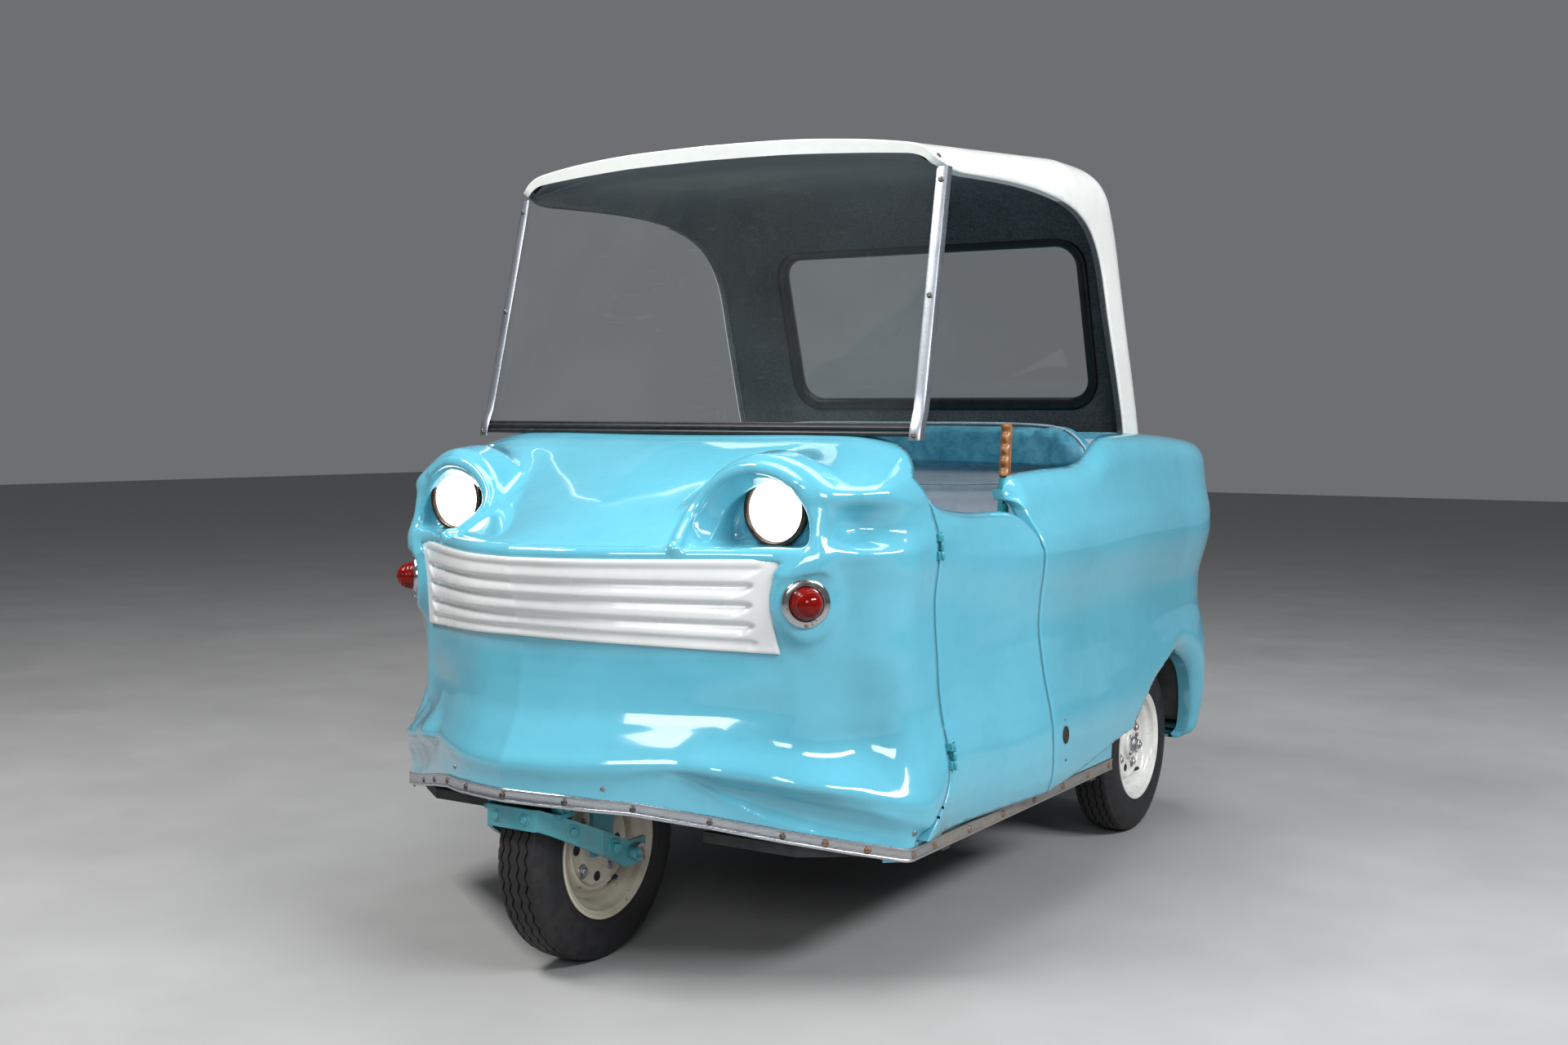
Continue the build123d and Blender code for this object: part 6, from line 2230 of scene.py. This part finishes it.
# ----------------------------------------------------------------------------
# tiller
# ----------------------------------------------------------------------------
def build_grip():
    """turned wood grip with four finger notches on its front"""
    bot, top = np.array([.445, -.090, .300]), np.array([.445, -.046, .830])
    ax = (top - bot) / np.linalg.norm(top - bot)
    c0 = top + ax * .002
    L, n, m = .106, 110, 40
    fr = np.array([0, -1, 0]) - ax * (ax @ np.array([0, -1, 0]))
    fr /= np.linalg.norm(fr)
    sd = np.cross(ax, fr)
    rows = []
    for i in range(n):
        u = i / (n - 1)
        h = u * L
        r = .0122
        r *= 1 - .30 * (1 - min(1, (h / .004))) ** 2 - .35 * (1 - min(1, ((L - h) / .006))) ** 2
        row = []
        for j in range(m):
            a = 2 * math.pi * j / m
            k = max(0.0, math.cos(a)) ** 1.2
            notch = 0
            for q in (.018, .042, .066, .090):
                notch += .0048 * math.exp(-((h - q) / .0066) ** 2)
            rr = r - notch * k
            row.append(c0 + ax * h + fr * rr * math.cos(a) * 1.08 + sd * rr * math.sin(a) * .92)
        rows.append(row)
    cap0 = [c0 + ax * 0.0] * m
    cap1 = [c0 + ax * L] * m
    G = np.array([cap0] + rows + [cap1])
    o = grid_obj("tiller_wood_grip", G, closed_cols=True)
    weld(o, 1e-6)
    return o


# ----------------------------------------------------------------------------
# hinges
# ----------------------------------------------------------------------------
def hinge_x(z):
    return .557 + (.730 - z) * .0789


def build_hinges():
    fixed, moving = [], {1: [], -1: []}
    for sd in (1, -1):
        for z in (.375, .730):
            ax = np.array([-.0789 * sd, 0, 1])
            ax = ax / np.linalg.norm(ax)
            c = np.array([(hinge_x(z) - .0030) * sd, -.5315, z])
            for d0, d1, who in ((-.0225, -.0082, 0), (-.0074, .0074, 1), (.0082, .0225, 0)):
                pr = [(d0, 0), (d0, .0026), (d0 + .0006, .0034), (d1 - .0006, .0034), (d1, .0026), (d1, 0)]
                b = disc_profile("k", pr, c, ax, 20)
                (moving[sd] if who else fixed).append(b)
                y0, y1 = ((-.5315, -.5225) if who else (-.5405, -.5315))
                x0, x1 = sorted(((hinge_x(z) - .0030) * sd, (hinge_x(z) - .016) * sd))
                lf = box_obj("lf", (x0, y0, z + d0 + .0006), (x1, y1, z + d1 - .0006), .0006, 1)
                (moving[sd] if who else fixed).append(lf)
            for e in (-.0232, .0232):
                fixed.append(disc_profile("pin", [(-.0012, 0), (-.0012, .0020), (.0008, .0022), (.0014, .0014), (.0015, 0)],
                                          c + ax * e, ax * (1 if e > 0 else -1), 14))
    return join(fixed, "hinge_knuckles"), join(moving[1], "left_door_knuckles"), join(moving[-1], "right_door_knuckles")


def build_wheel_well():
    """folded sheet box over the front wheel, open below"""
    x0, y0, y1, z0, z1, t = .2145, -.8855, -.5555, .262, .4745, .0022
    outer = box_obj("o", (-x0, y0, z0), (x0, y1, z1), .014, 4)
    bm = bmesh.new()
    bm.from_mesh(outer.data)
    bmesh.ops.delete(bm, geom=[f for f in bm.faces if f.calc_center_median().z < z0 + .0139], context="FACES")
    # the front wall stops short of the strap's swing
    for v in bm.verts:
        if v.co.z < .30 and v.co.y < -.80:
            v.co.z = .316
    bm.to_mesh(outer.data)
    bm.free()
    clean_loose(outer)
    outer.name = "wheel_well"
    add_solidify(outer, t, -1)
    return outer


def build_arch_liners():
    """dark inner arches over the rear wheels, open below"""
    out = []
    line = smooth_line(ARCH_LINE, 3)
    line = [q for q in line if q[1] > .205]
    c = np.array([.560, .220])
    for sd in (1, -1):
        rows = []
        for y, z in line:
            d = np.array([y, z]) - c
            d = d / np.linalg.norm(d)
            oy, oz = y + d[0] * .016, max(z + d[1] * .016, .205)
            tt = float(wall(np.array([s_of_y(min(oy, .85))]), np.array([oz]))[0])
            x1 = XR + min(tt, .178) - .020
            rows.append([(x1 * sd, oy, oz), ((x1 - .02) * sd, oy, oz), (.46 * sd, oy, oz), (.39 * sd, oy, oz),
                         (.372 * sd, oy - d[0] * .004, oz - d[1] * .004), (.366 * sd, oy - d[0] * .014, oz - d[1] * .014),
                         (.365 * sd, oy - d[0] * .06, max(oz - d[1] * .06, .205)),
                         (.365 * sd, oy - d[0] * .10, max(oz - d[1] * .10, .205))])
        o = grid_obj("l", np.array(rows))
        bm = bmesh.new()
        bm.from_mesh(o.data)
        bmesh.ops.recalc_face_normals(bm, faces=bm.faces)
        bm.to_mesh(o.data)
        bm.free()
        smooth_by_angle(o, 50)
        out.append(o)
    o = join(out, "wheel_arch_liners")
    add_solidify(o, .0025, 0)
    return o


def build_hub(name, c, side):
    """turned hub nose with a slotted nut and a split pin"""
    d = (side, 0, 0)
    o = disc_profile("hub", [(.0290, 0), (.0290, .0165), (.0300, .0172), (.0360, .0170), (.0385, .0155), (.0395, .0130),
                             (.0395, 0)], c, d, 48)
    n = hex_bolt("n", (c[0] + side * .0385, c[1], c[2]), d, .0200, .0095, False)
    p = disc_profile("p", [(.0, 0), (.0, .0052), (.0120, .0052), (.0130, .0042), (.0130, 0)],
                     (c[0] + side * .0385, c[1], c[2]), d, 20)
    q = box_obj("q", (c[0] + side * .0470 - .0016, c[1] - .0135, c[2] - .0014), (c[0] + side * .0470 + .0016, c[1] + .0135,
                                                                                 c[2] + .0014), .0006, 1)
    drum = disc_profile(name + "_drum", [(.010, 0), (.010, .0375), (.0160, .0370), (.0180, .0345), (.0250, .0335),
                                         (.0285, .0325), (.0305, .0300), (.0310, .0250), (.0300, .0215), (.0300, 0)], c, d, 56)
    nuts = []
    for i in range(4):
        a = math.pi / 4 + i * math.pi / 2
        nuts.append(hex_bolt("n", (c[0] + side * .0305, c[1] + .0262 * math.cos(a), c[2] + .0262 * math.sin(a)), d, .0090,
                             .0050, False))
    return join([o, n, p, q] + nuts, name), drum


# ----------------------------------------------------------------------------
# putting it together
# ----------------------------------------------------------------------------
def place(o, body, mat=None, slot=None, stands=(), name=None):
    if name:
        o.name = name
    if mat is not None:
        o.data.materials.clear()
        o.data.materials.append(MAT[mat])
    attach(o, body)
    if stands:
        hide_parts(*stands)
    return o


def inner_skin(name, fun, off, h, lo, hi, cuts, half=True):
    g = lambda p: fun(p) + off
    V, F = (implicit_mesh if half else implicit_mesh_side)(g, h, lo, hi, cuts)
    return fast_mesh(name, V, F[:, ::-1])


# finishes on the carried-over nodes
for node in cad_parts.values():
    for k, ms in enumerate(node.data.materials):
        key = ms.name.split(".")[0] if ms else None
        if key in MAT:
            node.data.materials[k] = MAT[key]
    for p in node.data.polygons:
        pass

# body skins
nose = place(build_nose(), "body", "body_blue", "body_blue", ["front_body"])
tub = place(build_tub(), "body", "body_blue", "body_blue", ["rear_body"])
door_l = place(build_door(1), "left_door", "body_blue", "body_blue", ["left_door"])
door_r = place(build_door(-1), "right_door", "body_blue", "body_blue", ["right_door"])
roof = place(build_roof(), "body", "roof_white", "roof_white", ["roof_shell"])
lining = place(build_lining(), "body", "flock", "roof_white")

nose_in = place(inner_skin("nose_inner", nose_f, .012, .0135, (-66 * .0135, -1.035, .20), (66 * .0135, -.46, .945), [
    lambda p: gap_line(p[:, 2]) - .004 - p[:, 1], lambda p: p[:, 2] - (skirt_z(p[:, 0]) + .010)]),
    "body", "body_blue", "body_blue")
tub_in = place(inner_skin("tub_inner", tub_f, .012, .0165, (-38 * .0165, -.19, .168), (38 * .0165, 1.04, .95), [
    lambda p: p[:, 1] + .1555, lambda p: p[:, 2] - np.where(p[:, 1] < .30, .225, .20),
    lambda p: ARCH_OUT(p[:, 1], p[:, 2]) - .030,
    lambda p: np.maximum(plan_back(p[:, 0], p[:, 1])[1] - (wall(plan_back(p[:, 0], p[:, 1])[0], p[:, 2]) - .034),
                         p[:, 1] - .452)]), "body", "body_blue", "body_blue")
for sd, who in ((1, "left_door"), (-1, "right_door")):
    V, F = implicit_mesh_side(lambda p: door_f(p) + .016, .012, (.44, -.63, .23), (.625, -.15, .86), [
        lambda p: p[:, 1] - (gap_front(p[:, 2]) + .006), lambda p: -.166 - p[:, 1], lambda p: p[:, 2] - .252,
        lambda p: plan(p[:, 0], p[:, 1])[1] - (wall(plan(p[:, 0], p[:, 1])[0], p[:, 2]) - .040)])
    # the lining stays level with the skin: nothing reaches past the turned edges
    pl_s, pl_t = plan(np.abs(V[:, 0]), V[:, 1])
    deep = (V[:, 2] < .70) & (wall(pl_s, V[:, 2]) - pl_t > .0215)
    V, F = compact(V, F[~deep[F].any(1)])
    V[:, 0] *= sd
    o = fast_mesh(who + "_inner", V, F if sd < 0 else F[:, ::-1])
    place(o, who, "body_blue", "body_blue")

# nose fittings
grille = place(build_grille(), "body", "grille_white", "grille_white", ["grille_panel"])
strip = place(build_strip(), "body", "strip", "trim_aluminium", ["sill_trim"])
sills = place(build_sill_plates(), "body", "body_blue", "body_blue")
for sd in (1, -1):
    rim, glass, clips = build_headlamp(sd)
    place(rim, "body", None, "chrome", ["headlamp_buckets"])
    place(glass, "body", "lamp_glass", "lamp_glass", ["headlamp_lenses"])
    place(clips, "body", "screw_metal", "chrome")
    bez, lens, sc = build_turn(sd)
    place(bez, "body", "chrome", "chrome", ["turn_signal_bezels"])
    place(lens, "body", "lens_red", "lens_red", ["turn_signal_lenses"])
    place(sc, "body", "rusty_steel", "chrome")
    bez, lens = build_tail_lamp(sd)
    place(bez, "body", "chrome", "chrome")
    place(lens, "body", "lens_red", "lens_red", ["tail_lamps"])

# screen
seal = place(build_seal(), "body", "seal_black", "seal_black", ["windshield_seal"])
posts, psc = build_posts()
place(posts, "body", "trim_aluminium", "trim_aluminium", ["windshield_posts"])
place(psc, "body", "screw_dark", "trim_aluminium")
gask = place(build_gasket(), "body", "seal_black", "seal_black", ["rear_window_gasket"])

# screws along the strip, the roof's front edge and the body
sc_s = []
for s, dz in ((0, 0), (.105, 0), (-.105, 0), (.20, 0), (-.20, 0), (.30, 0), (-.30, 0), (.395, 0), (-.395, 0)):
    p = skirt_point(s, 0, 0)
    z = float(skirt_z(np.array([p[0]]))[0]) + .0115
    q0, q1 = skirt_point(s - .004, 0, 0), skirt_point(s + .004, 0, 0)
    d = (q1 - q0)[:2]
    n = np.array([d[1], -d[0], 0]) / np.linalg.norm(d)
    if n @ (p - np.array([0, -.2, 0])) < 0:
        n = -n
    sc_s.append(screw_head("s", np.array([p[0], p[1], z]) + n * .0033, n, .0052, True, .0026))
place(join(sc_s, "strip_screws_front"), "body", "screw_dark", "trim_aluminium")
sc_s = []
SIDE_S = [s_corner(20), s_corner(48), s_corner(76), s_of_y(-.565), s_of_y(-.43), s_of_y(-.29), s_of_y(-.15), s_of_y(-.01),
          s_of_y(.12), s_of_y(.235)]
for s in SIDE_S + [-q for q in SIDE_S if q > s_corner(88)]:
    p = skirt_point(s, 0, 0)
    z = float(skirt_z(np.array([p[0]]))[0]) + .0115
    q0, q1 = skirt_point(s - .004, 0, 0), skirt_point(s + .004, 0, 0)
    d = (q1 - q0)[:2]
    n = np.array([d[1], -d[0], 0]) / np.linalg.norm(d)
    if n @ (p - np.array([0, -.2, 0])) < 0:
        n = -n
    sc_s.append(screw_head("s", np.array([p[0], p[1], z]) + n * .0033, n, .0062, True, .0030))
place(join(sc_s, "strip_screws_side"), "body", "rusty_steel", "trim_aluminium")

sc_s = []
for x in (-.472, 0, .472):
    y = float(roof_front(np.array(x)))
    z = float(crown(np.array([abs(x)]), np.array([y]))[0]) - .012
    P = np.array([[x, y + .012, z]])
    for _ in range(12):
        g = gradient(roof_f, P)
        g[:, 1] = 0
        P = P - (roof_f(P) / np.maximum((g ** 2).sum(1), 1e-3))[:, None] * g
    g = gradient(roof_f, P)[0]
    g /= np.linalg.norm(g)
    sc_s.append(screw_head("s", P[0] + g * .0005, g, .0052, True, .0026))
place(join(sc_s, "roof_screws"), "body", "screw_dark", "roof_white")


def dot_on_wall(s, z, r, h=.0024, lift=.0003):
    c, n = wall_normal(s, z)
    return screw_head("d", c + n * lift, n, r, True, h)


sc_s = [dot_on_wall(s_of_y(-.642) * k, .262, .0050) for k in (1, -1)]
sc_s += [dot_on_wall(.16 * k, .345, .0040) for k in (1, -1)]
sc_s += [dot_on_wall(s_of_y(-.105) * k, z, .0030) for k in (1, -1) for z in (.378, .300)]
place(join(sc_s, "body_rivets"), "body", "screw_metal", "body_blue")

# oval hole behind the door, on both sides: a raised rim round a flat dark disc on the skin, which paints in the dark
# liner behind the hole together with the shade inside it
hl = []
for k in (1, -1):
    c, n = wall_normal(s_of_y(-.105) * k, .348)
    u = np.cross(n, (0, 0, 1))
    u /= np.linalg.norm(u)
    v = np.cross(u, n)
    m_ = 28
    a = np.linspace(0, 2 * math.pi, m_, endpoint=False)
    rows = []
    for w, l in ((1.0, .0002), (1.18, .0010), (1.10, .0016), (.96, .0010), (.92, .0004), (.86, .0003), (.0, .0002)):
        rows.append([c + u * (.0122 * w * math.cos(q)) + v * (.0145 * w * math.sin(q)) + n * l for q in a])
    o = grid_obj("h", np.array(rows), closed_cols=True)
    weld(o, 1e-6)
    hl.append(o)
place(join(hl, "side_hole_rims_and_painted_shade"), "body", "black_rubber_and_hole_shade", "seal_black")

# hinges
hk, hl_, hr_ = build_hinges()
place(hk, "body", "suspension_teal", "suspension_teal", ["hinge_brackets"])
place(hl_, "left_door", "suspension_teal", "suspension_teal")
place(hr_, "right_door", "suspension_teal", "suspension_teal")

# wheels
t0 = build_tyre("front_tyre_tread", FW)
place(t0, "front_wheel", "tyre", "tyre", ["front_tyre"])
# the rims' hole discs take the dark rubber finish as painted shade in the holes; the valve stems are real rubber
for part, mt in zip(build_rim("front_wheel_rim", FW, 1, False), ("rim_cream", "steel", "black_rubber_and_hole_shade", "black_rubber_and_hole_shade")):
    place(part, "front_wheel", mt, "rim_cream", ["front_rim"] if mt == "rim_cream" else ())
for sd, tag in ((1, "left"), (-1, "right")):
    c = (RW[0] * sd, RW[1], RW[2])
    place(build_tyre("rear_%s_tread" % tag, c), "rear_%s_wheel" % tag, "tyre", "tyre", ["rear_%s_tyre" % tag])
    for part, mt in zip(build_rim("rear_%s_disc" % tag, c, sd, True), ("rim_white", "steel", "black_rubber_and_hole_shade", "black_rubber_and_hole_shade")):
        place(part, "rear_%s_wheel" % tag, mt, "rim_white", ["rear_%s_rim" % tag] if mt == "rim_white" else ())

    hub, drum = build_hub("rear_%s_hub" % tag, c, sd)
    place(hub, "rear_%s_wheel" % tag, "steel", "steel")
    place(drum, "rear_%s_wheel" % tag, "rim_white", "rim_white")
place(build_arch_liners(), "body", "floor_dark", "floor_dark")

# fork springs and the strap's fittings
FY = -.789
spr, caps_ = [], []
for sd in (1, -1):
    a, b = np.array([.068 * sd, FY - .157, .298]), np.array([.062 * sd, FY - .090, .421])
    spr.append(coil_spring("c", a, b, .0128, .0026, 8))
    ax = (b - a) / np.linalg.norm(b - a)
    for p, d in ((a, ax), (b, -ax)):
        caps_.append(disc_profile("cp", [(-.003, 0), (-.003, .0165), (.002, .0165), (.0035, .0140), (.0035, .0090),
                                         (.008, .0085), (.008, 0)], p, d, 28))
    caps_.append(disc_profile("rod", [(0, 0), (0, .0045), (np.linalg.norm(b - a), .0045), (np.linalg.norm(b - a), 0)], a, ax, 16))
for sd in (1, -1):
    caps_.append(disc_profile("eye", [(-.011, .0062), (-.011, .0125), (-.0095, .0140), (.0095, .0140), (.011, .0125), (.011, .0062),
                                      (.0085, .0056), (-.0085, .0056), (-.011, .0062)], (.069 * sd, FY - .160, .3040), (1, 0, 0), 32))
place(join(spr, "fork_coil_springs"), "steering", "suspension_teal", "suspension_teal", ["front_springs"])
place(join(caps_, "fork_spring_seats"), "steering", "suspension_teal", "suspension_teal")
fit = []
for sd in (1, -1):
    # pivot bolts through the strap: a nut and a ring eye on the outside
    fit.append(hex_bolt("n", (.1040 * sd, FY - .062, .2190), (sd, 0, 0), .017, .009))
    fit.append(disc_profile("e", [(-.006, 0), (-.006, .0105), (.014, .0105), (.0155, .0095), (.0155, .0070), (.012, .0062),
                                  (.012, 0)], (.1040 * sd, FY - .014, .2010), (sd, 0, 0), 28))
    for dy, dz, dx in ((-.150, .2615, .0858),):
        fit.append(hex_bolt("n", (dx * sd, FY + dy, dz), (.903 * sd, -.430, 0), .013, .006))
for x in (-.030, .030):
    fit.append(hex_bolt("n", (x, FY - .2055, .285), (0, -1, 0), .011, .004))
place(join(fit, "fork_strap_fittings"), "steering", "suspension_teal", "suspension_teal")

place(build_wheel_well(), "body", "floor_dark", "floor_dark", ["front_wheel_housing"])

# seat
back, back_w = build_backrest()
place(back, "body", "vinyl_blue", "vinyl_blue", ["seat_back"])
place(back_w, "body", "piping", "vinyl_blue")
cush, cush_w = build_seat_cushion()
place(cush, "body", "vinyl_blue", "vinyl_blue", ["seat_cushion"])
place(cush_w, "body", "piping", "vinyl_blue")

# tiller
place(build_grip(), "tiller", "wood_grip", "wood_grip", ["tiller_grip"])

# soft edges on the carried-over nodes
for n_ in ("fork", "yoke_band", "floor_pan", "frame_rails", "cross_members", "seat_base", "back_panel",
           "battery_pack", "pedals", "dash_panel", "tiller_bracket", "leaf_springs", "drive_motor", "plate_bracket"):
    add_bevel(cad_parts[n_], .0015, 2, 40)

# ----------------------------------------------------------------------------
# camera, floor and light
# ----------------------------------------------------------------------------
make_camera()
bpy.ops.mesh.primitive_plane_add(size=40, location=(0, 0, 0))
floor = bpy.context.object
floor.name = "floor"
floor.data.materials.append(make_floor())
bpy.context.scene.view_settings.view_transform = "Standard"
w = bpy.data.worlds.new("world")
bpy.context.scene.world = w
w.use_nodes = True
w.node_tree.nodes["Background"].inputs[0].default_value = (.90, .93, 1.0, 1)
w.node_tree.nodes["Background"].inputs[1].default_value = .17


def area(name, loc, target, size, power, col=(1, 1, 1), size_y=None):
    l = bpy.data.lights.new(name, "AREA")
    l.energy = power
    l.color = col
    l.shape = "RECTANGLE"
    l.size = size
    l.size_y = size_y or size
    o = bpy.data.objects.new(name, l)
    link(o)
    o.location = loc
    o.rotation_euler = (Vector(target) - Vector(loc)).to_track_quat("-Z", "Y").to_euler()
    return o


area("key", (-1.3, -2.6, 4.1), (.1, -.3, .5), 2.4, 205, (1, .985, .965), .9)
area("top", (.5, .5, 4.6), (0, 0, .7), 3.2, 100, (1, 1, 1), 1.8)
area("side", (4.2, -.7, 3.2), (.3, 0, .6), 3.0, 215, (.96, .985, 1), .7)
area("fill", (3.4, -5.6, 3.0), (0, 0, .8), 2.0, 100, (1, 1, 1), 1.6)
